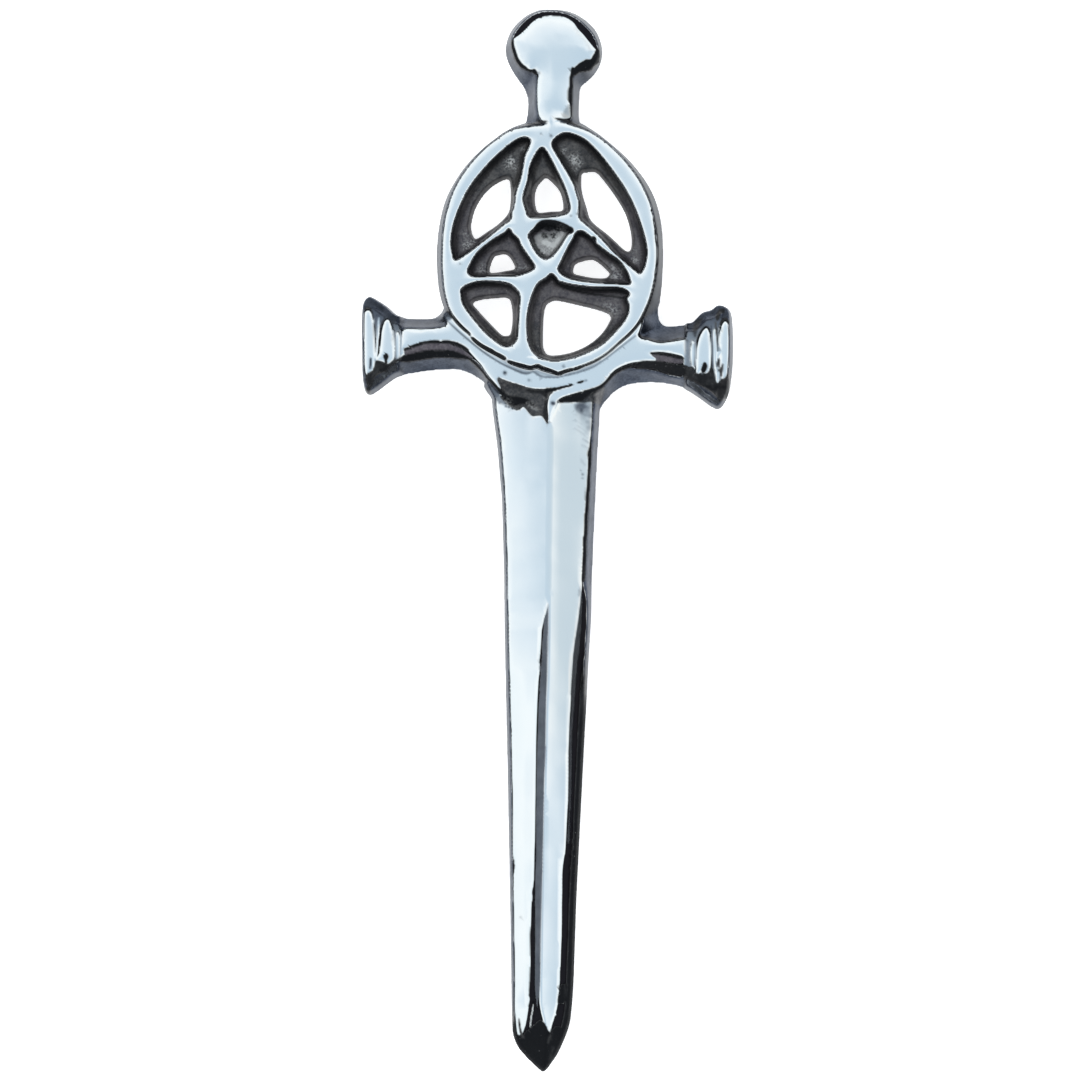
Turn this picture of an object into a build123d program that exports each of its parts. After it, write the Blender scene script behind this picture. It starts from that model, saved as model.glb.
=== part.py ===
from build123d import *
import os

# A Celtic sword kilt pin, lying face up: +Z is the front, +Y the pommel end,
# -Y the point, X runs across.  The origin is on the floor, in the middle of
# the outline.  Millimetres.

# ---- driving sizes ----------------------------------------------------------
BACK_Z = 4.80            # flat back of the casting above the floor
DRAFT = 0.20             # sideways draft of every cast wall, per mm of height

RING_X, RING_Y = 0.14, 29.86        # centre of the oval medallion
RING_A, RING_B = 11.62, 12.62        # half axes of its outer foot
RING_H = 2.90                        # height of the ring's rim
CELL_A, CELL_B = 9.75, 11.00         # half axes of the sunk field inside the rim
FLOOR_H = 1.25                       # height of the sunk field
STRAND_H = 2.65                      # height of the knot's strands

# ---- the knot: one arc per row ---------------------------------------------
# name, start x y, via x y, end x y, width of its polished top
STRANDS = (
    ("lobe_left_upper",   -0.35, 41.20, -2.34, 37.07, -3.05, 32.90, 0.80),
    ("lobe_left_lower",   -3.05, 32.90, -2.00, 30.05, -0.10, 27.15, 0.80),
    ("lobe_right_upper",  -0.10, 41.20,  1.50, 37.10,  2.80, 32.80, 0.80),
    ("lobe_right_lower",   2.80, 32.80,  1.61, 29.81, -0.10, 27.15, 0.80),
    ("arch_left",        -10.10, 27.40, -5.90, 30.12, -2.40, 32.50, 0.75),
    ("arch_middle",       -3.00, 32.30, -0.05, 32.73,  3.00, 32.36, 0.60),
    ("arch_right",         3.00, 32.36,  5.56, 30.47, 10.10, 25.90, 0.75),
    ("base_left",        -10.30, 26.20, -4.84, 26.43, -0.08, 27.20, 0.85),
    ("base_right",        -0.08, 27.20,  4.29, 26.19, 10.20, 25.50, 0.70),
    ("spoke",             -0.15, 27.15, -2.10, 23.87, -2.60, 18.40, 1.10),
)

# ---- windows pierced through the sunk field: one rounded triangle per row ---
# name, corners a b c (x y each), swell of the sides ab bc ca, corner radius
WINDOWS = (
    ("upper_left",   -3.76, 37.26, -8.04, 30.20, -3.81, 32.79, 1.30, 0.10, 0.02, 0.55),
    ("top",          -0.31, 37.50, -1.58, 33.12,  1.77, 33.36, 0.45, 0.08, 0.42, 0.55),
    ("upper_right",   3.03, 37.95,  8.73, 28.98,  4.01, 32.58, 1.60, 0.05, 0.02, 0.60),
    ("middle_left",  -4.78, 29.53, -6.37, 26.87, -3.03, 27.52, 0.20, 0.08, 0.35, 0.45),
    ("middle_right",  4.16, 28.93,  6.73, 26.42,  2.15, 27.28, 0.28, 0.10, 0.20, 0.45),
    ("lower_left",   -8.17, 24.21, -3.51, 24.87, -3.65, 20.10, 0.12, 0.12, 0.10, 0.55),
    ("lower_right",  -0.26, 24.71,  6.97, 23.18, -0.48, 18.31, 0.03, 1.10, 0.06, 0.60),
)

# ---- pommel and grip: one cross-section per row -----------------------------
# y, left foot x, right foot x, inset of the polished top, height of it
HILT = (
    (54.00, -0.75,  1.05, 0.25, 1.20),
    (53.65, -1.93,  2.23, 0.60, 1.60),
    (53.20, -2.68,  3.15, 0.90, 2.10),
    (52.23, -3.64,  4.38, 1.05, 2.70),
    (51.42, -4.24,  5.00, 1.10, 3.00),
    (50.20, -4.60,  5.20, 1.15, 3.25),
    (48.98, -4.60,  5.25, 1.20, 3.35),
    (48.17, -4.25,  5.04, 1.20, 3.35),
    (47.36, -3.78,  4.64, 1.15, 3.30),
    (46.54, -3.26,  3.94, 1.10, 3.20),
    (45.93, -2.90,  3.40, 1.05, 3.10),
    (45.00, -2.55,  3.08, 1.00, 3.00),
    (43.70, -2.44,  3.02, 1.00, 2.95),
    (42.50, -2.44,  3.00, 1.00, 2.95),
    (40.60, -2.44,  3.00, 1.00, 2.90),
)

# ---- cross guard: one cross-section per row, left to right ------------------
# x, upper foot y, lower foot y, crest y, height at the edges, height of crest
GUARD = (
    (-18.90, 22.60, 17.20, 19.90, 1.40, 1.70),
    (-18.60, 23.95, 15.60, 19.80, 1.90, 2.40),
    (-18.10, 24.45, 14.75, 19.70, 2.10, 2.80),
    (-17.65, 24.30, 14.75, 19.68, 2.10, 2.80),
    (-17.40, 24.12, 14.90, 19.68, 1.75, 2.35),
    (-17.05, 23.88, 15.05, 19.70, 1.75, 2.35),
    (-16.80, 23.70, 15.17, 19.74, 2.10, 2.85),
    (-15.75, 22.95, 15.90, 19.80, 2.10, 2.85),
    (-15.50, 22.80, 16.05, 19.80, 1.75, 2.35),
    (-15.30, 22.66, 16.20, 19.84, 1.75, 2.35),
    (-15.18, 22.58, 16.30, 19.86, 1.95, 2.60),
    (-15.02, 22.52, 16.40, 19.88, 1.95, 2.60),
    (-14.85, 22.48, 16.50, 19.90, 1.75, 2.35),
    (-14.50, 22.45, 16.60, 19.92, 1.95, 2.70),
    (-12.92, 22.37, 16.99, 19.99, 1.90, 2.80),
    (-10.89, 22.45, 17.22, 19.96, 1.90, 2.85),
    ( -9.36, 22.40, 17.24, 19.52, 1.90, 2.90),
    ( -7.84, 22.00, 16.70, 18.83, 1.90, 2.95),
    ( -6.20, 20.88, 15.30, 17.93, 1.90, 2.95),
    ( -4.60, 19.60, 13.90, 16.90, 1.90, 3.00),
    ( -2.72, 18.49, 13.41, 16.15, 1.90, 3.00),
    (  0.23, 18.02, 13.04, 15.78, 1.90, 3.00),
    (  2.87, 18.35, 13.30, 16.02, 1.90, 3.00),
    (  5.10, 19.20, 13.75, 16.76, 1.90, 3.00),
    (  6.60, 19.92, 15.05, 17.39, 1.90, 3.00),
    (  7.91, 20.85, 15.83, 18.11, 1.90, 2.95),
    (  9.42, 21.80, 16.20, 18.64, 1.90, 2.95),
    ( 10.94, 22.01, 16.27, 18.86, 1.90, 2.90),
    ( 12.47, 22.02, 16.09, 18.78, 1.90, 2.85),
    ( 14.00, 22.15, 15.50, 18.75, 1.95, 2.80),
    ( 14.30, 22.20, 15.35, 18.75, 1.75, 2.40),
    ( 14.60, 22.35, 15.20, 18.75, 1.75, 2.40),
    ( 14.80, 22.50, 15.05, 18.75, 2.10, 2.90),
    ( 16.15, 23.38, 14.32, 18.82, 2.10, 2.90),
    ( 16.40, 23.42, 14.15, 18.82, 1.75, 2.40),
    ( 16.60, 23.48, 14.02, 18.83, 1.75, 2.40),
    ( 16.72, 23.52, 13.94, 18.83, 1.95, 2.65),
    ( 16.86, 23.62, 13.86, 18.85, 1.95, 2.65),
    ( 17.00, 23.72, 13.78, 18.87, 1.75, 2.40),
    ( 17.25, 23.90, 13.70, 18.90, 2.10, 2.85),
    ( 17.80, 23.95, 13.85, 19.00, 2.10, 2.85),
    ( 18.30, 23.60, 15.20, 19.30, 1.95, 2.50),
    ( 18.65, 22.95, 17.20, 19.80, 1.60, 2.00),
    ( 18.90, 21.40, 19.00, 20.10, 1.30, 1.50),
)

# ---- blade: one cross-section per row, hilt to point ------------------------
# y, left foot x, right foot x, ridge x, height at the edges, height of ridge
BLADE = (
    ( 16.50, -5.65,  5.65,  0.40, 1.70, 2.90),
    ( 13.24, -5.49,  5.47,  0.38, 1.70, 2.90),
    ( 10.20, -5.15,  5.30,  0.36, 1.70, 2.88),
    (  4.11, -4.47,  5.17,  0.34, 1.68, 2.82),
    ( -6.04, -4.14,  4.79,  0.30, 1.62, 2.72),
    (-16.19, -3.82,  4.51,  0.25, 1.56, 2.60),
    (-26.34, -3.49,  4.22,  0.22, 1.50, 2.45),
    (-36.49, -3.16,  3.80,  0.22, 1.42, 2.28),
    (-46.65, -2.94,  3.38,  0.22, 1.32, 2.05),
    (-49.69, -2.82,  3.10,  0.22, 1.20, 1.90),
    (-50.71, -2.66,  2.78,  0.22, 1.12, 1.75),
    (-51.72, -2.10,  2.28,  0.24, 1.04, 1.58),
    (-52.74, -1.26,  1.72,  0.26, 0.96, 1.36),
    (-53.55, -0.50,  1.10,  0.30, 0.88, 1.12),
    (-54.00,  0.08,  0.52,  0.30, 0.80, 0.85),
)

# ---- the hidden brooch fitting ----------------------------------------------
SOLDER_GAP = 0.05        # kept between the fitting and the casting
FITTING_TOP = BACK_Z - SOLDER_GAP
PAD_H = 0.80             # thickness of both soldered pads
HINGE_Y = 15.20          # across the barrel
HINGE_PAD_X, HINGE_PAD_Y = 8.40, 5.20
EAR_X = 2.90             # middle of each ear
EAR_T = 1.30
EAR_Y = 4.20             # length of an ear along Y at the pad
EAR_FOOT_Y = 3.00        # and of the flat it stands on
BARREL_R = 1.25
STEM_Z = 1.62            # axis of the stem above the floor
STEM_R = 0.75
STEM_END_Y = -33.50      # where the point begins
POINT_Y = -38.00
CATCH_Y = -31.50
CATCH_PAD_X, CATCH_PAD_Y = 5.60, 4.20
CATCH_R_OUT = 1.62       # outside of the catch's curl
CATCH_R_IN = 0.85
CATCH_L = 3.20

# ============================================================================
# the casting: one piece of metal from pommel to point
# ============================================================================
with BuildPart() as sword:
    # blade, a flat back with two facets meeting on a ridge
    for y, x_left, x_right, x_ridge, h_edge, h_ridge in BLADE:
        with BuildSketch(Plane.XZ.offset(-y)):
            with BuildLine():
                Polyline(
                    (x_left, BACK_Z),
                    (x_right, BACK_Z),
                    (x_right - min(DRAFT * h_edge, 0.3 * (x_right - x_ridge)), BACK_Z + h_edge),
                    (x_ridge, BACK_Z + h_ridge),
                    (x_left + min(DRAFT * h_edge, 0.3 * (x_ridge - x_left)), BACK_Z + h_edge),
                    close=True,
                )
            make_face()
    loft(ruled=True)

with BuildPart() as guard:
    # cross guard with its two banded, flared ends
    for x, y_up, y_low, y_crest, h_edge, h_crest in GUARD:
        with BuildSketch(Plane.YZ.offset(x)):
            with BuildLine():
                Polyline(
                    (y_low, BACK_Z),
                    (y_up, BACK_Z),
                    (y_up - DRAFT * h_edge, BACK_Z + h_edge),
                    (y_crest, BACK_Z + h_crest),
                    (y_low + DRAFT * h_edge, BACK_Z + h_edge),
                    close=True,
                )
            make_face()
    loft(ruled=True)

with BuildPart() as hilt:
    # bulb pommel and short grip
    for y, x_left, x_right, inset, h_top in HILT:
        with BuildSketch(Plane.XZ.offset(-y)):
            with BuildLine():
                Polyline(
                    (x_left, BACK_Z),
                    (x_right, BACK_Z),
                    (x_right - DRAFT * h_top * 0.65, BACK_Z + h_top * 0.65),
                    (x_right - inset, BACK_Z + h_top),
                    (x_left + inset, BACK_Z + h_top),
                    (x_left + DRAFT * h_top * 0.65, BACK_Z + h_top * 0.65),
                    close=True,
                )
            make_face()
    loft(ruled=True)

with BuildPart() as medallion:
    # the oval rim, drafted on the outside
    for h in (0.0, RING_H):
        with BuildSketch(Plane.XY.offset(BACK_Z + h)):
            with Locations((RING_X, RING_Y)):
                Ellipse(RING_A - DRAFT * h, RING_B - DRAFT * h)
    loft()
    # the sunk field inside it
    for h in (FLOOR_H, RING_H + 0.2):
        with BuildSketch(Plane.XY.offset(BACK_Z + h)):
            with Locations((RING_X, RING_Y)):
                Ellipse(CELL_A + DRAFT * (h - RING_H), CELL_B + DRAFT * (h - RING_H))
    loft(mode=Mode.SUBTRACT)
    # the strands of the knot, standing on the field
    for name, xa, ya, xm, ym, xb, yb, width in STRANDS:
        for h_low, h_high, extra in ((0.6, 2.15, 0.36), (2.0, STRAND_H, 0.0)):
            with BuildSketch(Plane.XY.offset(BACK_Z + h_low)):
                SlotArc(ThreePointArc((xa, ya), (xm, ym), (xb, yb)).edge(), width + extra)
            extrude(amount=h_high - h_low)

# the windows, pierced from the back through the field
for name, xa, ya, xb, yb, xc, yc, swell_ab, swell_bc, swell_ca, corner in WINDOWS:
    middle = Vector((xa + xb + xc) / 3, (ya + yb + yc) / 3)
    with BuildSketch(Plane.XY.offset(BACK_Z - 0.5)) as window:
        with BuildLine():
            for x0, y0, x1, y1, swell in (
                (xa, ya, xb, yb, swell_ab),
                (xb, yb, xc, yc, swell_bc),
                (xc, yc, xa, ya, swell_ca),
            ):
                half = Vector((x0 + x1) / 2, (y0 + y1) / 2)
                out = Vector(y1 - y0, x0 - x1).normalized()
                if out.dot(half - middle) < 0:
                    out = -out
                ThreePointArc((x0, y0), half + out * swell, (x1, y1))
        make_face()
        fillet(window.vertices(), radius=corner)
    with medallion:
        extrude(window.sketch, amount=FLOOR_H + 1.0, mode=Mode.SUBTRACT)

with sword:
    add(guard.part)
    add(hilt.part)
    add(medallion.part)

# ============================================================================
# the brooch fitting behind it: pads, hinge ears, barrel, stem and catch,
# finished as one plain piece
# ============================================================================
with BuildPart() as pin_clasp:
    # hinge pad
    with BuildSketch(Plane.XY.offset(FITTING_TOP - PAD_H)):
        with Locations((0, HINGE_Y)):
            RectangleRounded(HINGE_PAD_X, HINGE_PAD_Y, 0.8)
    extrude(amount=PAD_H)
    # two ears, each with a flat foot on the floor
    for side in (-1, 1):
        with BuildSketch(Plane.YZ.offset(side * EAR_X - EAR_T / 2)):
            with BuildLine():
                Polyline(
                    (HINGE_Y - EAR_Y / 2, FITTING_TOP - PAD_H / 2),
                    (HINGE_Y + EAR_Y / 2, FITTING_TOP - PAD_H / 2),
                    (HINGE_Y + EAR_Y / 2, 0.9),
                    (HINGE_Y + EAR_FOOT_Y / 2, 0),
                    (HINGE_Y - EAR_FOOT_Y / 2, 0),
                    (HINGE_Y - EAR_Y / 2, 0.9),
                    close=True,
                )
            make_face()
        extrude(amount=EAR_T)
    # barrel between the ears
    with BuildSketch(Plane.YZ.offset(-EAR_X)):
        with Locations((HINGE_Y, STEM_Z)):
            Circle(BARREL_R)
    extrude(amount=2 * EAR_X)
    # stem and its point
    with BuildSketch(Plane.XZ.offset(-HINGE_Y)):
        with Locations((0, STEM_Z)):
            Circle(STEM_R)
    extrude(amount=HINGE_Y - STEM_END_Y)
    with BuildSketch(Plane.XZ.offset(-STEM_END_Y)):
        with Locations((0, STEM_Z)):
            Circle(STEM_R)
    with BuildSketch(Plane.XZ.offset(-POINT_Y)):
        with Locations((0, STEM_Z)):
            Circle(0.12)
    loft()
    # catch pad and the post that carries the curl
    with BuildSketch(Plane.XY.offset(FITTING_TOP - PAD_H)):
        with Locations((0, CATCH_Y)):
            RectangleRounded(CATCH_PAD_X, CATCH_PAD_Y, 0.8)
    extrude(amount=PAD_H)
    with BuildSketch(Plane.XZ.offset(-(CATCH_Y + CATCH_L / 2))):
        with Locations((0, STEM_Z)):
            Circle(CATCH_R_OUT)
        with Locations((-1.05, (FITTING_TOP + STEM_Z) / 2)):
            Rectangle(1.0, FITTING_TOP - STEM_Z - 0.1)
        with Locations((0, STEM_Z)):
            Circle(CATCH_R_IN, mode=Mode.SUBTRACT)
        with Locations((0.9, STEM_Z + 0.75)):
            Rectangle(1.8, 0.9, mode=Mode.SUBTRACT)
        with Locations((0, 0.15)):
            Rectangle(2.6, 0.30)
    extrude(amount=CATCH_L)
    # a bridge of metal in the curl, so that the whole fitting is one piece
    with BuildSketch(Plane.XZ.offset(-(CATCH_Y + CATCH_L / 2 - 0.4))):
        with Locations((0, STEM_Z - 0.45)):
            Rectangle(1.6, 0.9)
    extrude(amount=CATCH_L - 0.8)

# ---- hand over ---------------------------------------------------------------
os.makedirs("parts", exist_ok=True)
sword.part.label = "sword"
export_step(sword.part, "parts/sword.step")
pin_clasp.part.label = "pin_clasp"
export_step(pin_clasp.part, "parts/pin_clasp.step")

for piece in (sword, pin_clasp):
    box = piece.part.bounding_box()
    print(piece.part.label, round(piece.part.volume, 1), "mm3", len(piece.part.solids()), "solid",
          len(piece.part.faces()), "faces", piece.part.is_valid,
          tuple(round(v, 3) for v in box.min), tuple(round(v, 3) for v in box.max))
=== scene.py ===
import math

import bpy
import numpy as np
import openvdb
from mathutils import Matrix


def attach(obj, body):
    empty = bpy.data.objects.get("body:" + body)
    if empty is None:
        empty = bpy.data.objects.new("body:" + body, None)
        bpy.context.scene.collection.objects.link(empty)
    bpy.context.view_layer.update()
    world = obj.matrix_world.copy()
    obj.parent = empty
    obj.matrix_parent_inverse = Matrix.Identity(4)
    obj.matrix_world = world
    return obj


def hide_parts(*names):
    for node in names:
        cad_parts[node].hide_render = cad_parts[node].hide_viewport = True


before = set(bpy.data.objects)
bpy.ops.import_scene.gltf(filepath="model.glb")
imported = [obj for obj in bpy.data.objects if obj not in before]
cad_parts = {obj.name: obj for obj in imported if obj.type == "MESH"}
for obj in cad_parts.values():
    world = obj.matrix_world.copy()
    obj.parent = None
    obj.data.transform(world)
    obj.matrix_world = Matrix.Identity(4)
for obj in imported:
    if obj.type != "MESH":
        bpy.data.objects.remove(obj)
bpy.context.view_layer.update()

# Millimetres are used for the tables and the shaping, metres for Blender.
BACK = 4.80          # flat back of the casting above the floor
STEP = 0.10          # spacing of the shaping grid

# ---- outlines of the casting, seen from the front ----------------------------
FOOT_BLADE = (
    (-5.58, 15.96), (-5.51, 13.92), (-5.44, 12.90), (-5.16, 10.87), (-4.88, 8.83), (-4.59, 5.78),
    (-4.38, 3.75), (-4.21, -0.32), (-4.05, -4.38), (-3.97, -8.43), (-3.85, -12.48), (-3.72, -16.52),
    (-3.58, -20.56), (-3.44, -24.60), (-3.31, -28.63), (-3.18, -32.65), (-3.05, -36.67), (-2.93, -40.69),
    (-2.82, -44.70), (-2.74, -47.71), (-2.69, -48.91), (-2.65, -49.81), (-2.51, -50.51), (-2.25, -51.11),
    (-1.89, -51.70), (-1.33, -52.34), (-0.72, -52.94), (-0.11, -53.48), (0.30, -53.83), (0.50, -53.89),
    (0.70, -53.79), (1.00, -53.47), (1.39, -52.91), (1.89, -52.16), (2.28, -51.35), (2.62, -50.55),
    (2.96, -49.64), (3.20, -48.64), (3.30, -47.64), (3.38, -46.63), (3.48, -44.63), (3.57, -40.62),
    (3.66, -36.60), (3.81, -32.58), (3.96, -28.55), (4.12, -24.52), (4.28, -20.49), (4.45, -16.45),
    (4.60, -12.41), (4.80, -8.36), (4.90, -4.30), (5.01, -0.25), (5.14, 3.82), (5.23, 6.87),
    (5.31, 8.90), (5.41, 10.94), (5.45, 12.47), (5.56, 13.48), (5.71, 14.50), (5.69, 16.03),
)
TOP_BLADE = (
    (-5.15, 16.21), (-5.08, 13.67), (-5.00, 12.45), (-4.67, 10.42), (-4.44, 8.60), (-4.19, 5.56),
    (-4.02, 3.53), (-3.84, -0.52), (-3.69, -4.56), (-3.57, -8.60), (-3.45, -12.63), (-3.31, -16.66),
    (-3.15, -20.69), (-3.02, -24.70), (-2.91, -28.72), (-2.83, -32.73), (-2.74, -36.74), (-2.65, -40.74),
    (-2.55, -44.73), (-2.46, -47.73), (-2.37, -49.12), (-2.27, -50.02), (-2.07, -50.71), (-1.72, -51.31),
    (-1.11, -52.00), (-0.50, -52.59), (0.16, -53.18), (0.65, -53.57), (1.01, -53.07), (1.40, -52.47),
    (1.89, -51.71), (2.29, -50.96), (2.63, -50.26), (2.92, -49.36), (3.13, -48.46), (3.27, -47.46),
    (3.34, -46.66), (3.44, -44.66), (3.55, -40.67), (3.66, -36.67), (3.80, -32.66), (3.96, -28.65),
    (4.11, -24.63), (4.27, -20.61), (4.42, -16.59), (4.54, -12.56), (4.62, -8.53), (4.58, -6.92),
    (4.42, -6.11), (4.22, -5.30), (3.99, -4.50), (4.06, -2.98), (4.14, -0.96), (4.26, 1.27),
    (4.39, 3.39), (4.50, 5.62), (4.61, 7.65), (4.65, 9.37), (4.78, 10.69), (4.91, 12.41),
    (5.04, 14.24), (5.12, 16.27),
)
FOOT_GUARD = (
    (-18.79, 19.45), (-18.83, 20.99), (-18.83, 22.22), (-18.77, 23.24), (-18.57, 23.86), (-18.22, 24.22),
    (-17.96, 24.32), (-17.66, 24.22), (-17.04, 23.86), (-16.22, 23.31), (-15.60, 22.75), (-15.18, 22.44),
    (-14.57, 22.29), (-12.94, 22.20), (-11.72, 22.26), (-11.31, 22.38), (-11.01, 22.57), (-10.76, 22.83),
    (-10.61, 23.19), (-10.31, 23.49), (-9.29, 22.89), (-8.25, 21.87), (-7.23, 21.06), (-6.20, 20.25),
    (-5.58, 19.64), (-4.56, 19.08), (-3.23, 18.53), (-2.21, 18.23), (-1.19, 18.03), (-0.17, 17.88),
    (1.04, 17.79), (2.36, 17.95), (3.37, 18.16), (4.39, 18.52), (5.39, 18.99), (6.40, 19.71),
    (7.41, 20.53), (8.01, 21.25), (8.71, 22.17), (9.41, 22.99), (10.21, 23.61), (10.92, 23.82),
    (11.33, 23.31), (11.37, 22.70), (11.46, 22.24), (11.75, 21.83), (12.21, 21.65), (12.97, 21.67),
    (14.08, 21.80), (14.69, 21.87), (15.09, 22.26), (15.49, 22.67), (15.90, 22.95), (16.50, 23.11),
    (16.80, 23.29), (17.11, 23.55), (17.41, 23.65), (17.92, 23.57), (18.43, 23.25), (18.68, 22.64),
    (18.79, 21.72), (18.86, 19.68), (18.83, 17.65), (18.70, 16.12), (18.51, 14.89), (18.21, 14.08),
    (17.86, 13.46), (17.51, 13.16), (17.21, 13.15), (16.60, 13.46), (15.58, 14.20), (14.56, 14.87),
    (13.54, 15.37), (12.53, 15.59), (11.51, 15.71), (10.50, 15.75), (9.49, 15.67), (8.48, 15.52),
    (7.57, 15.17), (6.82, 14.67), (6.32, 14.14), (5.88, 13.59), (5.50, 12.98), (4.46, 11.95),
    (2.44, 11.32), (-0.60, 11.30), (-3.65, 11.90), (-5.40, 13.31), (-5.51, 14.13), (-5.68, 14.68),
    (-5.93, 15.18), (-6.28, 15.63), (-6.75, 15.97), (-7.37, 16.34), (-8.08, 16.66), (-9.00, 16.92),
    (-10.12, 16.91), (-11.24, 16.83), (-12.35, 16.71), (-13.67, 16.50), (-14.49, 16.35), (-15.20, 16.15),
    (-15.90, 15.67), (-16.61, 15.12), (-17.11, 14.74), (-17.61, 14.41), (-17.97, 14.35), (-18.28, 14.55),
    (-18.49, 15.06), (-18.66, 16.08), (-18.73, 17.41), (-18.76, 18.43),
)
TOP_ARMS = (
    (-14.64, 19.64), (-14.60, 20.30), (-14.45, 20.68), (-14.13, 20.84), (-13.52, 20.87), (-12.71, 20.83),
    (-11.70, 20.88), (-10.89, 20.96), (-10.29, 21.09), (-9.98, 21.25), (-10.04, 21.60), (-10.15, 21.95),
    (-9.90, 22.11), (-9.18, 21.91), (-7.15, 21.21), (-4.60, 19.70), (0.47, 18.71), (5.51, 19.76),
    (7.71, 21.60), (9.12, 22.02), (9.53, 21.41), (9.43, 20.80), (9.23, 20.34), (9.64, 19.91),
    (10.15, 19.87), (10.65, 19.69), (11.26, 19.56), (11.97, 19.57), (12.77, 19.67), (13.58, 19.83),
    (14.08, 19.81), (14.34, 19.51), (14.40, 18.80), (14.38, 17.99), (14.31, 17.38), (14.16, 17.28),
    (14.01, 17.48), (14.05, 17.98), (13.90, 18.24), (13.59, 18.34), (12.78, 18.53), (11.77, 18.68),
    (10.97, 18.68), (10.67, 18.62), (10.62, 18.47), (10.87, 18.27), (11.13, 17.97), (11.08, 17.76),
    (10.57, 17.76), (9.57, 17.70), (8.76, 17.60), (7.96, 17.34), (7.15, 16.93), (6.65, 16.47),
    (6.26, 15.91), (5.86, 15.40), (5.26, 14.99), (4.35, 14.68), (3.55, 14.47), (2.54, 14.21),
    (1.74, 13.95), (1.24, 13.54), (0.94, 12.83), (0.55, 11.91), (0.36, 11.20), (0.33, 12.12),
    (0.25, 13.13), (0.27, 13.84), (0.11, 14.55), (-0.49, 14.75), (-1.00, 14.74), (-1.71, 14.74),
    (-2.52, 14.99), (-3.33, 15.24), (-4.04, 15.49), (-4.40, 15.64), (-4.49, 14.82), (-4.84, 15.13),
    (-5.25, 15.58), (-5.66, 16.03), (-6.08, 16.59), (-6.49, 17.25), (-6.90, 17.70), (-7.41, 18.26),
    (-8.03, 18.92), (-8.64, 19.32), (-9.46, 19.57), (-10.67, 19.61), (-11.68, 19.50), (-12.69, 19.29),
    (-13.50, 19.03), (-14.21, 18.83), (-14.35, 18.57), (-14.30, 18.32), (-14.70, 18.01), (-14.95, 17.75),
    (-15.00, 18.01), (-14.81, 18.62), (-14.72, 19.13),
)
TOP_L1 = (
    (-18.42, 19.63), (-18.47, 21.46), (-18.44, 22.28), (-18.20, 22.66), (-17.80, 22.58), (-17.56, 21.92),
    (-17.43, 21.06), (-17.34, 20.14), (-17.26, 18.92), (-17.24, 17.80), (-17.30, 16.79), (-17.54, 16.38),
    (-17.93, 16.11), (-18.20, 16.37), (-18.35, 17.80),
)
TOP_L2 = (
    (-16.70, 19.64), (-16.61, 20.55), (-16.42, 21.37), (-16.18, 21.72), (-15.90, 21.70), (-15.68, 21.17),
    (-15.48, 20.46), (-15.34, 19.65), (-15.30, 18.63), (-15.33, 17.81), (-15.61, 17.41), (-15.81, 17.22),
    (-16.12, 17.27), (-16.42, 17.44), (-16.83, 17.52), (-17.13, 17.57), (-17.00, 17.91), (-16.78, 18.62),
)
TOP_L3 = (
    (-15.11, 19.16), (-15.13, 20.08), (-15.04, 20.44), (-14.87, 20.34), (-14.79, 19.67), (-14.80, 18.86),
    (-14.81, 18.15), (-14.92, 17.84), (-15.07, 18.25),
)
TOP_R3 = (
    (14.69, 18.63), (14.72, 19.24), (14.82, 19.70), (14.99, 19.50), (15.06, 18.74), (15.06, 17.82),
    (14.91, 17.16), (14.74, 17.62),
)
TOP_R2 = (
    (15.29, 18.41), (15.34, 19.22), (15.52, 20.09), (15.86, 20.77), (16.22, 21.08), (16.47, 20.75),
    (16.61, 19.94), (16.69, 18.82), (16.70, 17.71), (16.63, 16.90), (16.43, 16.49), (16.13, 16.47),
    (15.89, 16.67), (15.62, 16.53), (15.34, 16.32), (15.22, 16.63), (15.25, 17.60),
)
TOP_R1B = (
    (16.93, 18.85), (16.92, 20.17), (16.97, 20.88), (17.19, 20.78), (17.26, 19.66), (17.32, 18.34),
    (17.35, 17.43), (17.57, 16.62), (17.50, 15.71), (17.33, 15.48), (17.19, 16.42), (17.02, 17.63),
)
TOP_R1 = (
    (17.52, 18.83), (17.52, 20.25), (17.69, 21.16), (18.07, 21.78), (18.46, 21.42), (18.67, 20.66),
    (18.74, 19.34), (18.74, 17.82), (18.60, 16.81), (18.43, 16.22), (17.93, 15.85), (17.74, 16.40),
    (17.61, 17.41),
)
FOOT_HILT = (
    (-1.13, 53.95), (-0.51, 53.99), (0.20, 53.99), (0.92, 53.95), (1.73, 53.82), (2.55, 53.52),
    (3.37, 53.04), (4.04, 52.48), (4.56, 51.89), (4.95, 51.14), (5.19, 50.35), (5.27, 49.63),
    (5.19, 48.81), (4.96, 48.09), (4.56, 47.37), (4.06, 46.75), (3.58, 46.33), (3.21, 45.99),
    (3.07, 45.56), (3.02, 44.89), (3.00, 43.86), (3.01, 42.94), (3.09, 42.42), (3.20, 41.91),
    (3.33, 39.55), (-2.58, 39.52), (-2.61, 41.89), (-2.45, 42.45), (-2.32, 43.22), (-2.24, 44.05),
    (-2.28, 44.66), (-2.47, 45.33), (-2.80, 46.00), (-3.28, 46.66), (-3.80, 47.44), (-4.22, 48.21),
    (-4.51, 48.98), (-4.63, 49.80), (-4.49, 50.63), (-4.18, 51.51), (-3.68, 52.28), (-2.97, 53.00),
    (-2.14, 53.56),
)
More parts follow.
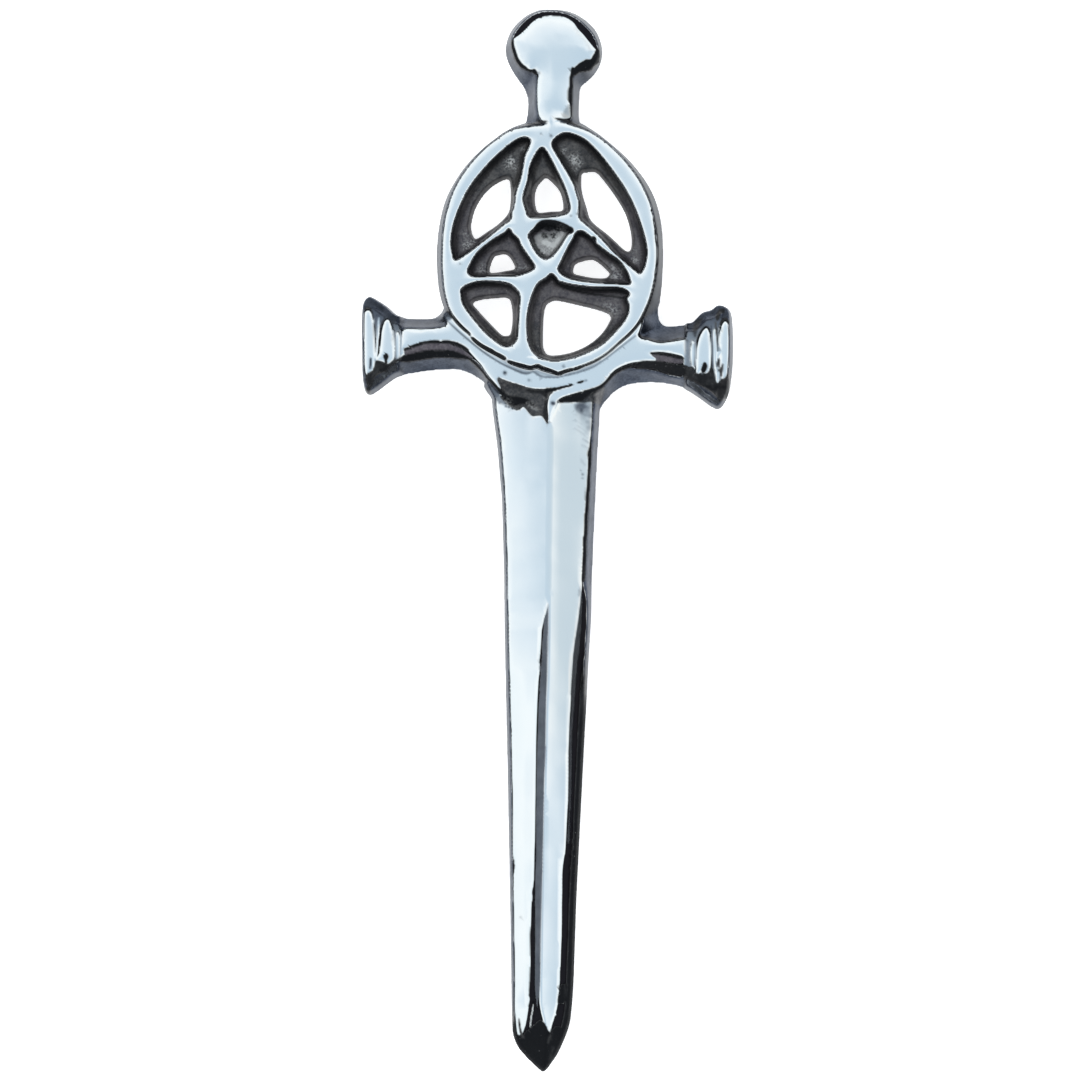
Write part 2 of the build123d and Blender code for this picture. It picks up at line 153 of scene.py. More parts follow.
TOP_HILT = (
    (-3.59, 50.44), (-3.40, 50.62), (-3.05, 50.84), (-2.75, 51.11), (-2.43, 51.41), (-2.13, 51.73),
    (-1.80, 52.09), (-1.44, 52.39), (-1.09, 52.61), (-0.64, 52.77), (-0.03, 52.86), (0.63, 52.89),
    (1.19, 52.80), (1.70, 52.64), (2.11, 52.40), (2.52, 52.03), (2.88, 51.50), (3.37, 50.98),
    (3.89, 50.34), (4.40, 49.72), (4.77, 49.27), (4.62, 48.99), (4.44, 48.66), (4.24, 48.33),
    (4.03, 48.32), (3.78, 48.33), (3.48, 48.14), (3.22, 48.01), (2.80, 47.67), (2.49, 47.29),
    (2.29, 46.86), (2.23, 46.19), (2.19, 45.37), (2.16, 44.56), (2.15, 44.04), (2.16, 43.64),
    (2.19, 43.23), (2.24, 42.82), (2.25, 42.45), (1.82, 42.31), (1.32, 42.32), (0.91, 42.30),
    (0.61, 42.21), (0.51, 41.79), (0.42, 40.56), (0.12, 40.56), (0.06, 41.68), (-0.07, 41.95),
    (-0.45, 42.06), (-0.76, 42.27), (-0.99, 42.65), (-1.10, 43.11), (-1.17, 43.72), (-1.22, 44.44),
    (-1.23, 45.16), (-1.20, 45.87), (-1.13, 46.33), (-0.99, 46.64), (-1.03, 46.95), (-1.26, 47.20),
    (-1.46, 47.41), (-1.74, 47.27), (-2.04, 47.34), (-2.27, 47.63), (-2.61, 47.83), (-2.88, 48.19),
    (-3.12, 48.58), (-3.33, 49.19), (-3.51, 49.76), (-3.63, 50.17),
)
TOP_RING = (
    (0.39, 42.10), (0.99, 42.06), (1.81, 41.86), (2.72, 41.60), (3.64, 41.29), (4.45, 40.90),
    (5.27, 40.39), (6.29, 39.58), (7.32, 38.61), (8.34, 37.39), (9.16, 36.27), (9.83, 35.05),
    (10.40, 33.73), (10.77, 32.30), (11.04, 30.78), (11.18, 29.25), (11.19, 27.93), (11.09, 26.60),
    (10.85, 25.38), (10.56, 24.16), (10.11, 23.04), (9.62, 21.92), (9.03, 21.00), (8.33, 20.28),
    (7.53, 19.54), (6.73, 18.83), (5.83, 18.14), (4.92, 17.62), (4.02, 17.21), (3.12, 16.95),
    (2.31, 16.80), (1.50, 16.59), (1.00, 16.58), (0.39, 16.78), (-0.22, 16.98), (-0.83, 17.23),
    (-1.43, 17.08), (-2.14, 17.17), (-2.95, 17.52), (-3.67, 17.88), (-4.18, 18.28), (-4.89, 18.58),
    (-5.80, 18.98), (-6.62, 19.43), (-7.44, 20.09), (-8.16, 20.80), (-8.77, 21.35), (-9.39, 22.01),
    (-9.85, 22.82), (-10.17, 23.74), (-10.44, 24.96), (-10.58, 26.28), (-10.66, 27.61), (-10.65, 29.14),
    (-10.62, 30.56), (-10.44, 31.99), (-10.10, 33.42), (-9.66, 34.75), (-9.07, 35.98), (-8.27, 37.21),
    (-7.38, 38.34), (-6.38, 39.37), (-5.37, 40.19), (-4.37, 40.93), (-3.36, 41.37), (-2.34, 41.53),
    (-1.33, 41.64), (-0.32, 41.75),
)
BAND_BLADE = (
    (-5.20, 16.25), (-5.14, 13.71), (-5.05, 12.49), (-4.72, 10.46), (-4.50, 8.64), (-4.24, 5.60),
    (-4.08, 3.57), (-3.89, -0.48), (-3.74, -4.53), (-3.63, -8.57), (-3.51, -12.61), (-3.36, -16.64),
    (-3.20, -20.66), (-3.07, -24.69), (-2.96, -28.70), (-2.88, -32.72), (-2.79, -36.72), (-2.69, -40.73),
    (-2.59, -44.73), (-2.51, -47.72), (-2.42, -49.12), (-2.33, -50.02), (-2.13, -50.74), (-1.79, -51.41),
    (-1.18, -52.10), (-0.57, -52.69), (0.09, -53.28), (0.63, -53.67), (1.09, -53.17), (1.48, -52.56),
    (1.98, -51.76), (2.37, -51.01), (2.71, -50.26), (3.00, -49.35), (3.21, -48.45), (3.35, -47.45),
    (3.38, -46.66), (3.48, -44.66), (3.58, -40.66), (3.69, -36.65), (3.83, -32.65), (3.99, -28.63),
    (4.14, -24.61), (4.31, -20.59), (4.45, -16.57), (4.58, -12.53), (4.67, -8.50), (4.64, -6.88),
    (4.55, -6.08), (4.49, -5.27), (4.39, -4.46), (4.41, -2.95), (4.47, -0.92), (4.54, 1.30),
    (4.62, 3.43), (4.74, 5.66), (4.82, 7.69), (4.90, 9.41), (4.99, 10.73), (5.07, 12.46),
    (5.22, 14.29), (5.30, 16.32),
)
BAND_ARMS = (
    (-14.72, 19.17), (-14.69, 19.98), (-14.62, 20.54), (-14.46, 20.84), (-14.16, 20.94), (-13.65, 20.96),
    (-12.74, 20.91), (-11.72, 20.94), (-10.91, 21.03), (-10.41, 21.17), (-10.15, 21.37), (-10.21, 21.74),
    (-10.40, 22.09), (-10.33, 22.45), (-9.72, 22.55), (-7.17, 21.55), (-4.62, 20.24), (0.45, 19.26),
    (5.49, 20.30), (7.69, 22.05), (9.50, 22.67), (10.01, 22.06), (9.82, 21.14), (9.63, 20.53),
    (9.83, 20.13), (10.54, 19.95), (11.15, 19.75), (11.96, 19.73), (12.76, 19.84), (13.57, 20.03),
    (14.12, 20.00), (14.44, 19.65), (14.53, 18.84), (14.60, 17.82), (14.56, 17.11), (14.31, 16.40),
    (14.01, 16.09), (13.51, 15.99), (12.80, 16.14), (12.09, 16.33), (11.38, 16.53), (10.58, 16.68),
    (9.87, 16.78), (9.26, 16.77), (8.66, 16.89), (8.05, 16.82), (7.35, 16.56), (6.85, 16.20),
    (6.45, 15.64), (6.05, 15.08), (5.45, 14.62), (4.95, 14.21), (4.35, 13.70), (3.35, 13.33),
    (2.14, 13.17), (1.34, 12.46), (0.74, 11.64), (0.24, 11.03), (-0.12, 11.49), (-0.42, 11.89),
    (-0.88, 11.89), (-1.39, 12.03), (-1.80, 12.54), (-2.31, 12.84), (-3.12, 13.14), (-3.83, 13.64),
    (-4.55, 14.30), (-5.16, 14.95), (-5.78, 15.76), (-6.30, 16.52), (-6.81, 17.18), (-7.32, 17.58),
    (-7.93, 17.80), (-8.85, 17.92), (-9.66, 17.95), (-10.67, 17.99), (-11.68, 17.92), (-12.59, 17.75),
    (-13.50, 17.60), (-14.31, 17.49), (-14.82, 17.49), (-15.07, 17.74), (-15.03, 18.15), (-14.88, 18.66),
)
BAND_HILT = (
    (-3.82, 50.69), (-3.56, 51.24), (-3.13, 51.86), (-2.53, 52.49), (-1.87, 52.97), (-1.27, 53.27),
    (-0.66, 53.42), (0.05, 53.44), (0.86, 53.40), (1.68, 53.22), (2.39, 52.91), (3.01, 52.53),
    (3.57, 52.07), (4.08, 51.56), (4.49, 51.06), (4.86, 50.43), (5.07, 49.79), (5.13, 49.22),
    (5.08, 48.61), (4.83, 48.09), (4.48, 47.68), (4.18, 47.40), (3.68, 47.24), (3.22, 47.17),
    (2.94, 46.96), (2.63, 46.65), (2.53, 46.24), (2.52, 45.22), (2.51, 44.30), (2.50, 43.89),
    (2.49, 43.48), (2.49, 43.07), (2.48, 42.71), (2.46, 42.36), (2.22, 42.00), (1.51, 41.94),
    (0.80, 41.74), (0.61, 40.41), (-0.10, 40.40), (-0.21, 41.63), (-0.77, 41.98), (-0.98, 42.30),
    (-1.14, 42.68), (-1.20, 43.16), (-1.26, 43.77), (-1.30, 44.49), (-1.31, 45.21), (-1.28, 45.92),
    (-1.26, 46.38), (-1.39, 46.78), (-1.65, 47.09), (-2.08, 47.19), (-2.48, 47.37), (-2.96, 47.70),
    (-3.31, 48.20), (-3.59, 48.85), (-3.77, 49.50), (-3.85, 50.11),
)
FOOT_RING = (
    (0.23, 42.72), (1.66, 42.68), (3.09, 42.37), (4.12, 41.78), (5.14, 41.10), (6.17, 40.28),
    (7.20, 39.41), (8.22, 38.44), (9.25, 37.22), (10.08, 36.04), (10.75, 34.76), (11.20, 33.43),
    (11.47, 32.21), (11.64, 30.88), (11.71, 29.34), (11.72, 28.12), (11.68, 26.79), (11.61, 25.46),
    (11.52, 24.54), (11.38, 23.62), (10.93, 22.70), (10.23, 21.67), (9.23, 20.44), (8.03, 19.31),
    (6.62, 18.28), (5.01, 17.46), (3.39, 16.94), (1.57, 16.62), (-0.16, 16.71), (-2.19, 17.00),
    (-3.93, 17.60), (-5.36, 18.31), (-6.80, 19.22), (-8.03, 20.24), (-9.06, 21.35), (-9.99, 22.47),
    (-10.51, 23.29), (-10.77, 23.90), (-10.96, 24.62), (-11.12, 25.43), (-11.26, 26.66), (-11.34, 27.99),
    (-11.35, 29.22), (-11.28, 30.35), (-11.16, 31.48), (-10.93, 32.86), (-10.56, 34.20), (-10.04, 35.43),
    (-9.04, 37.13), (-8.07, 38.37), (-7.06, 39.40), (-6.05, 40.26), (-5.04, 41.00), (-4.03, 41.70),
    (-3.02, 42.14), (-1.50, 42.56),
)
CELLS = {
    "upper_left": (
        (-3.05, 40.14), (-1.98, 40.24), (-1.97, 39.63), (-2.46, 38.40), (-2.80, 36.36), (-3.22, 35.03),
        (-3.70, 33.12), (-3.76, 32.10), (-4.66, 31.37), (-6.91, 29.50), (-9.08, 27.95), (-9.43, 28.46),
        (-9.61, 29.58), (-9.43, 31.22), (-8.84, 33.10), (-7.76, 35.31), (-6.16, 37.36), (-4.76, 38.80),
    ),
    "top": (
        (-0.50, 39.27), (0.63, 37.39), (1.57, 35.49), (2.09, 33.93), (2.17, 33.01), (1.70, 32.64),
        (-0.01, 32.35), (-1.74, 32.34), (-2.05, 32.99), (-2.37, 34.21), (-1.92, 35.95), (-1.70, 37.38),
        (-1.21, 38.54),
    ),
    "upper_right": (
        (0.51, 39.57), (0.77, 40.26), (1.61, 40.77), (2.52, 40.67), (3.81, 40.06), (5.14, 38.74),
        (6.72, 36.71), (8.06, 34.67), (9.09, 32.46), (9.83, 30.13), (10.05, 28.39), (9.56, 26.73),
        (8.85, 27.07), (6.98, 28.65), (5.48, 30.27), (4.04, 31.59), (3.33, 32.30), (3.31, 33.73),
        (3.16, 34.75), (2.37, 36.38), (1.33, 38.11),
    ),
    "centre": (
        (0.16, 31.67), (1.17, 31.47), (2.64, 30.87), (2.03, 30.56), (1.20, 29.23), (0.44, 28.34),
        (-0.27, 28.10), (-1.12, 28.91), (-1.71, 30.37), (-1.14, 31.10), (-0.71, 31.61),
    ),
    "middle_left": (
        (-3.85, 31.04), (-3.54, 30.53), (-3.03, 30.07), (-2.61, 29.21), (-1.68, 27.89), (-1.27, 27.18),
        (-1.81, 26.77), (-3.11, 26.35), (-4.84, 26.35), (-7.16, 26.23), (-7.89, 26.63), (-7.45, 27.76),
        (-6.76, 28.78), (-5.35, 29.91), (-4.18, 30.63),
    ),
    "middle_right": (
        (3.04, 30.67), (3.75, 30.67), (4.67, 29.96), (4.95, 29.56), (6.10, 28.65), (7.28, 27.84),
        (8.01, 26.82), (8.36, 25.91), (8.26, 25.54), (5.53, 25.69), (3.40, 25.88), (1.95, 26.28),
        (1.27, 26.89), (1.46, 27.50), (2.21, 29.07), (2.75, 30.10),
    ),
    "lower_left": (
        (-8.43, 24.94), (-7.42, 25.45), (-6.01, 25.63), (-3.98, 25.43), (-3.09, 24.83), (-2.75, 24.12),
        (-2.83, 22.49), (-2.96, 20.04), (-3.30, 19.43), (-3.80, 19.15), (-4.51, 19.32), (-5.94, 20.43),
        (-7.38, 22.05), (-8.31, 23.37), (-8.52, 24.39),
    ),
    "lower_right": (
        (0.46, 26.37), (0.94, 26.01), (1.24, 25.67), (2.70, 25.30), (4.83, 25.07), (7.46, 25.03),
        (8.33, 24.52), (8.04, 24.01), (8.28, 23.29), (8.06, 22.14), (7.07, 20.82), (5.60, 19.38),
        (3.59, 18.36), (1.34, 17.73), (0.16, 17.83), (-0.99, 18.33), (-1.57, 19.34), (-1.79, 20.76),
        (-1.76, 22.49), (-1.33, 24.26), (-0.78, 25.45), (0.06, 26.01),
    ),
}
HOLES = {
    "upper_left": (
        (-4.14, 36.55), (-3.82, 35.63), (-3.80, 34.20), (-4.03, 32.97), (-5.03, 31.84), (-6.20, 31.01),
        (-7.21, 30.33), (-7.62, 30.49), (-7.90, 31.35), (-7.81, 32.37), (-7.39, 33.70), (-6.56, 35.00),
        (-5.55, 35.93),
    ),
    "top": (
        (-0.23, 36.67), (0.55, 36.06), (1.24, 35.14), (1.55, 33.92), (1.40, 33.23), (0.18, 33.12),
        (-0.98, 33.02), (-1.35, 33.59), (-1.47, 34.75), (-1.18, 35.78), (-0.58, 36.51),
    ),
    "upper_right": (
        (3.28, 37.00), (3.89, 37.27), (4.77, 37.27), (5.52, 36.54), (6.83, 34.79), (7.87, 33.03),
        (8.43, 31.19), (8.54, 29.86), (8.35, 29.17), (7.74, 29.24), (6.16, 30.69), (4.35, 32.19),
        (3.80, 33.62), (3.30, 35.36),
    ),
    "middle_left": (
        (-5.56, 28.45), (-4.99, 28.76), (-4.14, 28.77), (-3.52, 28.06), (-3.31, 27.28), (-4.25, 27.03),
        (-5.74, 26.82), (-5.95, 27.27),
    ),
    "middle_right": (
        (2.85, 27.89), (3.69, 28.20), (4.60, 28.30), (5.32, 27.90), (6.20, 27.09), (6.34, 26.78),
        (5.91, 26.37), (4.73, 26.36), (3.40, 26.59), (2.59, 26.86), (2.58, 27.48),
    ),
    "lower_left": (
        (-7.63, 23.74), (-6.82, 24.15), (-4.94, 24.37), (-4.08, 24.37), (-3.67, 23.97), (-3.45, 22.47),
        (-3.63, 20.70), (-4.16, 20.39), (-4.75, 20.59), (-6.08, 21.91), (-7.11, 23.03),
    ),
    "lower_right": (
        (-0.31, 23.21), (0.39, 24.02), (1.16, 24.10), (2.63, 23.80), (5.47, 23.10), (6.49, 22.52),
        (6.26, 21.68), (5.40, 20.48), (4.10, 19.45), (2.38, 18.70), (0.46, 18.41), (-0.26, 18.88),
        (-0.48, 20.15),
    ),
}
# name: kind, depth, strength, course of x, y and half width
RIBBONS = {
    "ring_seam_w": ("black", 0.1, 0.85, (
        (-10.07, 22.84, 0.081), (-9.60, 22.23, 0.102), (-8.98, 21.47, 0.112), (-8.37, 20.86, 0.112),
        (-7.91, 20.46, 0.102), (-7.65, 20.19, 0.081),
    )),
    "ring_seam_sw": ("black", 0.12, 0.95, (
        (-7.51, 19.94, 0.081), (-7.24, 19.70, 0.112), (-6.89, 19.41, 0.122), (-6.52, 19.14, 0.132),
        (-6.01, 18.85, 0.152), (-5.50, 18.59, 0.162), (-5.10, 18.36, 0.142), (-4.79, 18.21, 0.152),
        (-4.38, 17.99, 0.162), (-4.08, 17.81, 0.132),
    )),
    "ring_seam_s": ("black", 0.16, 1.0, (
        (-3.81, 17.59, 0.071), (-3.47, 17.43, 0.112), (-2.96, 17.26, 0.132), (-2.45, 17.11, 0.152),
        (-1.94, 16.97, 0.152), (-1.44, 16.90, 0.132), (-1.09, 16.99, 0.152), (-0.73, 17.04, 0.173),
        (-0.33, 16.86, 0.173), (0.18, 16.70, 0.162), (0.69, 16.54, 0.142), (1.09, 16.40, 0.122),
        (1.45, 16.36, 0.132), (1.90, 16.53, 0.112), (2.50, 16.71, 0.102), (3.21, 16.88, 0.091),
        (3.81, 17.13, 0.081), (4.42, 17.37, 0.076), (5.12, 17.70, 0.076), (5.92, 18.18, 0.071),
        (6.62, 18.73, 0.071), (7.32, 19.36, 0.076), (8.02, 19.97, 0.081), (8.62, 20.53, 0.086),
        (9.17, 21.12, 0.091), (9.62, 21.78, 0.086), (10.01, 22.50, 0.081), (10.37, 23.31, 0.071),
        (10.66, 24.18, 0.066), (10.91, 25.10, 0.061), (11.12, 26.32, 0.061), (11.25, 27.74, 0.056),
        (11.26, 29.17, 0.051), (11.13, 30.70, 0.051), (10.88, 32.12, 0.046),
    )),
    "second_seam_w": ("grey", 0.0, 0.62, (
        (-9.89, 21.56, 0.041), (-9.38, 21.08, 0.066), (-8.77, 20.52, 0.076), (-8.15, 19.99, 0.076),
        (-7.54, 19.49, 0.076), (-6.92, 18.99, 0.076), (-6.21, 18.44, 0.076), (-5.49, 17.96, 0.076),
        (-4.78, 17.52, 0.076), (-4.07, 17.14, 0.081), (-3.36, 16.81, 0.091), (-2.75, 16.55, 0.102),
        (-2.24, 16.37, 0.112), (-1.83, 16.31, 0.102), (-1.43, 16.42, 0.071),
    )),
    "second_seam_s": ("grey", 0.0, 0.5, (
        (-1.43, 16.56, 0.071), (-1.03, 16.44, 0.102), (-0.67, 16.16, 0.112), (-0.21, 16.00, 0.086),
        (0.40, 15.95, 0.081), (1.10, 15.93, 0.081), (1.81, 16.09, 0.081), (2.61, 16.27, 0.081),
        (3.42, 16.49, 0.081), (4.22, 16.76, 0.081), (5.03, 17.13, 0.081), (5.83, 17.68, 0.076),
        (6.53, 18.22, 0.071), (7.23, 18.77, 0.071), (7.93, 19.32, 0.066), (8.53, 19.79, 0.061),
        (9.13, 20.24, 0.051),
    )),
    "seam_shade": ("soft", 0.0, 0.45, (
        (-6.01, 18.62, 0.081), (-5.09, 18.14, 0.122), (-4.28, 17.68, 0.132), (-3.36, 17.06, 0.152),
        (-2.75, 16.85, 0.173), (-2.14, 16.62, 0.173), (-1.53, 16.56, 0.152), (-0.82, 16.54, 0.173),
        (-0.12, 16.37, 0.173), (0.59, 16.19, 0.162), (1.30, 16.13, 0.152), (2.11, 16.32, 0.142),
        (3.01, 16.59, 0.152), (3.92, 16.92, 0.162), (4.72, 17.25, 0.132), (5.53, 17.70, 0.091),
    )),
    "hook_seam": ("black", 0.04, 1.0, (
        (0.21, 14.60, 0.223), (0.71, 14.66, 0.173), (1.22, 14.78, 0.142), (1.72, 14.93, 0.112),
        (2.22, 15.05, 0.096), (2.58, 15.13, 0.096), (2.83, 15.20, 0.051),
    )),
    "hook_dash": ("black", 0.0, 1.0, (
        (3.25, 15.40, 0.041), (3.45, 15.44, 0.091), (3.73, 15.52, 0.091), (3.90, 15.57, 0.041),
    )),
    "hook_dot": ("soft", 0.0, 0.8, (
        (4.06, 15.62, 0.061), (4.18, 15.66, 0.061),
    )),
    # painted dark reflections along the collar's lower edges
    "collar_edge_left": ("black", 0.0, 1.0, (
        (-8.04, 17.95, 0.102), (-7.63, 17.75, 0.122), (-7.22, 17.45, 0.132), (-6.81, 17.05, 0.122),
        (-6.40, 16.57, 0.112), (-5.99, 16.03, 0.112), (-5.53, 15.54, 0.112), (-5.08, 15.10, 0.122),
        (-4.65, 14.67, 0.152), (-4.29, 14.33, 0.173), (-3.94, 14.05, 0.183), (-3.43, 13.85, 0.203),
    )),
    "collar_edge_right": ("black", 0.0, 1.0, (
        (9.56, 17.44, 0.102), (8.85, 17.26, 0.142), (8.19, 17.04, 0.152), (7.55, 16.76, 0.142),
        (6.99, 16.39, 0.132), (6.49, 15.88, 0.132), (6.09, 15.43, 0.132), (5.59, 15.02, 0.142),
        (5.05, 14.72, 0.152),
    )),
    "grip_crease_left": ("dark", 0.0, 0.85, (
        (-2.45, 41.71, 0.041), (-2.04, 41.79, 0.102), (-1.64, 41.87, 0.142), (-1.23, 41.93, 0.152),
        (-0.83, 41.93, 0.132), (-0.42, 41.94, 0.091), (-0.07, 41.98, 0.041),
    )),
    "grip_crease_right": ("black", 0.0, 0.85, (
        (0.69, 42.33, 0.041), (0.99, 42.26, 0.091), (1.40, 42.17, 0.122), (1.91, 42.06, 0.142),
        (2.42, 41.92, 0.142), (2.82, 41.77, 0.122), (3.23, 41.61, 0.102), (3.74, 41.40, 0.071),
        (4.25, 41.17, 0.051),
    )),
    "grip_line": ("black", 0.0, 1.0, (
        (2.43, 47.39, 0.132), (2.38, 46.87, 0.152), (2.32, 46.26, 0.142), (2.34, 45.54, 0.152),
        (2.30, 44.93, 0.132), (2.31, 44.31, 0.142), (2.31, 43.80, 0.122), (2.34, 43.39, 0.081),
        (2.36, 42.98, 0.061), (2.39, 42.58, 0.081),
    )),
    "arm_left": ("black", 0.0, 1.0, (
        (-14.26, 18.69, 0.112), (-13.92, 18.83, 0.122), (-13.31, 19.08, 0.122), (-12.71, 19.29, 0.122),
        (-12.10, 19.43, 0.122), (-11.49, 19.50, 0.122), (-10.94, 19.51, 0.112), (-10.78, 19.50, 0.112),
    )),
    "arm_left_b": ("black", 0.0, 1.0, (
        (-10.42, 19.50, 0.112), (-9.87, 19.49, 0.132), (-9.26, 19.37, 0.152), (-8.75, 19.17, 0.162),
        (-8.24, 18.91, 0.152), (-7.84, 18.65, 0.102),
    )),
    "arm_right": ("black", 0.0, 1.0, (
        (10.60, 18.45, 0.051), (10.81, 18.47, 0.102), (11.37, 18.46, 0.122), (11.97, 18.40, 0.132),
        (12.58, 18.30, 0.132), (13.19, 18.18, 0.122), (13.69, 18.05, 0.122), (13.89, 17.99, 0.091),
    )),
    "arm_right_top": ("dark", 0.0, 0.7, (
        (9.48, 20.37, 0.071), (9.84, 20.09, 0.081), (10.34, 19.99, 0.081), (10.85, 19.83, 0.081),
        (11.45, 19.70, 0.086), (12.16, 19.70, 0.086), (12.87, 19.83, 0.081), (13.57, 20.04, 0.071),
        (14.02, 20.00, 0.061), (14.32, 19.70, 0.061),
    )),
    "left_nick": ("grey", 0.0, 0.9, (
        (-17.64, 17.75, 0.071), (-17.65, 17.39, 0.102), (-17.69, 16.99, 0.091), (-17.75, 16.68, 0.051),
    )),
    "left_seam": ("grey", 0.0, 0.5, (
        (-15.31, 20.69, 0.051), (-15.24, 19.98, 0.071), (-15.20, 19.16, 0.071), (-15.18, 18.35, 0.081),
        (-15.18, 17.53, 0.102),
    )),
    "left_light": ("bright", 0.0, 1.0, (
        (-16.93, 21.90, 0.051), (-16.94, 21.19, 0.112), (-16.96, 20.17, 0.142), (-17.01, 19.15, 0.152),
        (-17.08, 18.34, 0.152), (-17.15, 17.83, 0.102),
    )),
    "left_gap": ("dark", 0.0, 0.35, (
        (-17.36, 21.19, 0.041), (-17.27, 20.17, 0.061), (-17.21, 19.15, 0.071), (-17.21, 18.44, 0.051),
    )),
    "right_gap": ("dark", 0.0, 0.7, (
        (17.14, 21.69, 0.061), (17.23, 20.88, 0.102), (17.36, 19.87, 0.091), (17.43, 18.85, 0.091),
        (17.48, 18.04, 0.091), (17.59, 17.13, 0.091), (17.70, 16.42, 0.071),
    )),
    "right_gap_2": ("grey", 0.0, 0.8, (
        (16.68, 21.29, 0.051), (16.78, 20.27, 0.081), (16.82, 19.15, 0.081), (16.83, 18.04, 0.081),
        (16.85, 16.92, 0.081),
    )),
    "right_gap_3": ("grey", 0.0, 0.6, (
        (15.13, 19.45, 0.041), (15.18, 18.64, 0.071), (15.16, 17.72, 0.071), (15.11, 17.01, 0.061),
    )),
    "right_nick": ("dark", 0.0, 0.8, (
        (17.91, 17.36, 0.071), (17.84, 17.01, 0.112), (17.78, 16.60, 0.112), (17.76, 16.19, 0.081),
    )),
    "right_chip": ("dark", 0.0, 0.6, (
        (17.27, 17.56, 0.061), (17.37, 17.15, 0.081), (17.46, 16.70, 0.071),
    )),
    "blade_line": ("black", 0.0, 1.0, (
        (4.65, 9.27, 0.071), (4.63, 8.86, 0.122), (4.61, 8.05, 0.112), (4.58, 7.24, 0.122),
        (4.53, 6.13, 0.132), (4.46, 4.81, 0.142), (4.38, 3.29, 0.147), (4.30, 1.57, 0.147),
        (4.22, -0.45, 0.152), (4.15, -2.48, 0.152), (4.11, -4.50, 0.162),
    )),
    "blade_line_top": ("grey", 0.0, 0.9, (
        (5.09, 13.33, 0.112), (5.05, 12.52, 0.112), (5.00, 11.70, 0.091), (4.95, 10.89, 0.091),
        (4.84, 10.08, 0.091), (4.73, 9.47, 0.081),
    )),
    # painted dark reflections along the edges and ridge of the point
    "tip_edge_left": ("black", 0.0, 0.9, (
        (-2.45, -50.31, 0.071), (-2.21, -50.81, 0.122), (-1.78, -51.40, 0.142), (-1.20, -52.06, 0.152),
        (-0.60, -52.65, 0.162), (0.06, -53.28, 0.173), (0.57, -53.67, 0.183),
    )),
    "tip_edge_right": ("black", 0.0, 0.9, (
        (3.61, -42.65, 0.071), (3.52, -45.15, 0.102), (3.42, -46.95, 0.122), (3.22, -48.55, 0.132),
        (2.95, -49.65, 0.132), (2.54, -50.75, 0.142), (2.10, -51.66, 0.152), (1.56, -52.52, 0.162),
        (1.07, -53.23, 0.173), (0.61, -53.71, 0.183),
    )),
    "tip_ridge": ("black", 0.0, 1.0, (
        (0.93, -49.72, 0.071), (1.00, -50.08, 0.203), (1.03, -50.68, 0.254), (0.97, -51.37, 0.274),
        (0.88, -52.17, 0.274), (0.79, -52.97, 0.233), (0.66, -53.57, 0.152),
    )),
    "tip_ridge_left": ("black", 0.0, 1.0, (
        (0.69, -50.88, 0.102), (0.62, -51.68, 0.152), (0.58, -52.47, 0.173), (0.58, -53.27, 0.152),
    )),
    "tip_streak": ("pale", 0.0, 0.9, (
        (-0.40, -46.91, 0.025), (-0.49, -47.41, 0.051), (-0.58, -48.01, 0.066), (-0.67, -48.60, 0.071),
        (-0.74, -49.10, 0.071), (-0.79, -49.36, 0.041),
    )),
    # painted highlights on the point
    "tip_glint": ("pale", 0.0, 0.16, (
        (1.43, -49.97, 0.081), (1.28, -50.32, 0.102), (1.14, -50.68, 0.112), (1.06, -50.98, 0.081),
    )),
    "tip_glint_2": ("pale", 0.0, 0.1, (
        (1.58, -51.52, 0.091), (1.40, -51.97, 0.102), (1.35, -52.32, 0.102), (1.19, -52.57, 0.081),
    )),
    "tip_spike": ("dark", 0.0, 0.9, (
        (-1.90, -48.62, 0.051), (-1.84, -49.22, 0.076), (-1.77, -49.71, 0.091), (-1.64, -50.11, 0.112),
        (-1.48, -50.41, 0.132),
    )),
    "cell_lr_line": ("black", 0.0, 0.9, (
        (1.38, 25.42, 0.122), (2.91, 24.93, 0.102), (4.83, 24.59, 0.091), (6.65, 24.42, 0.091),
        (7.87, 24.22, 0.091),
    )),
}
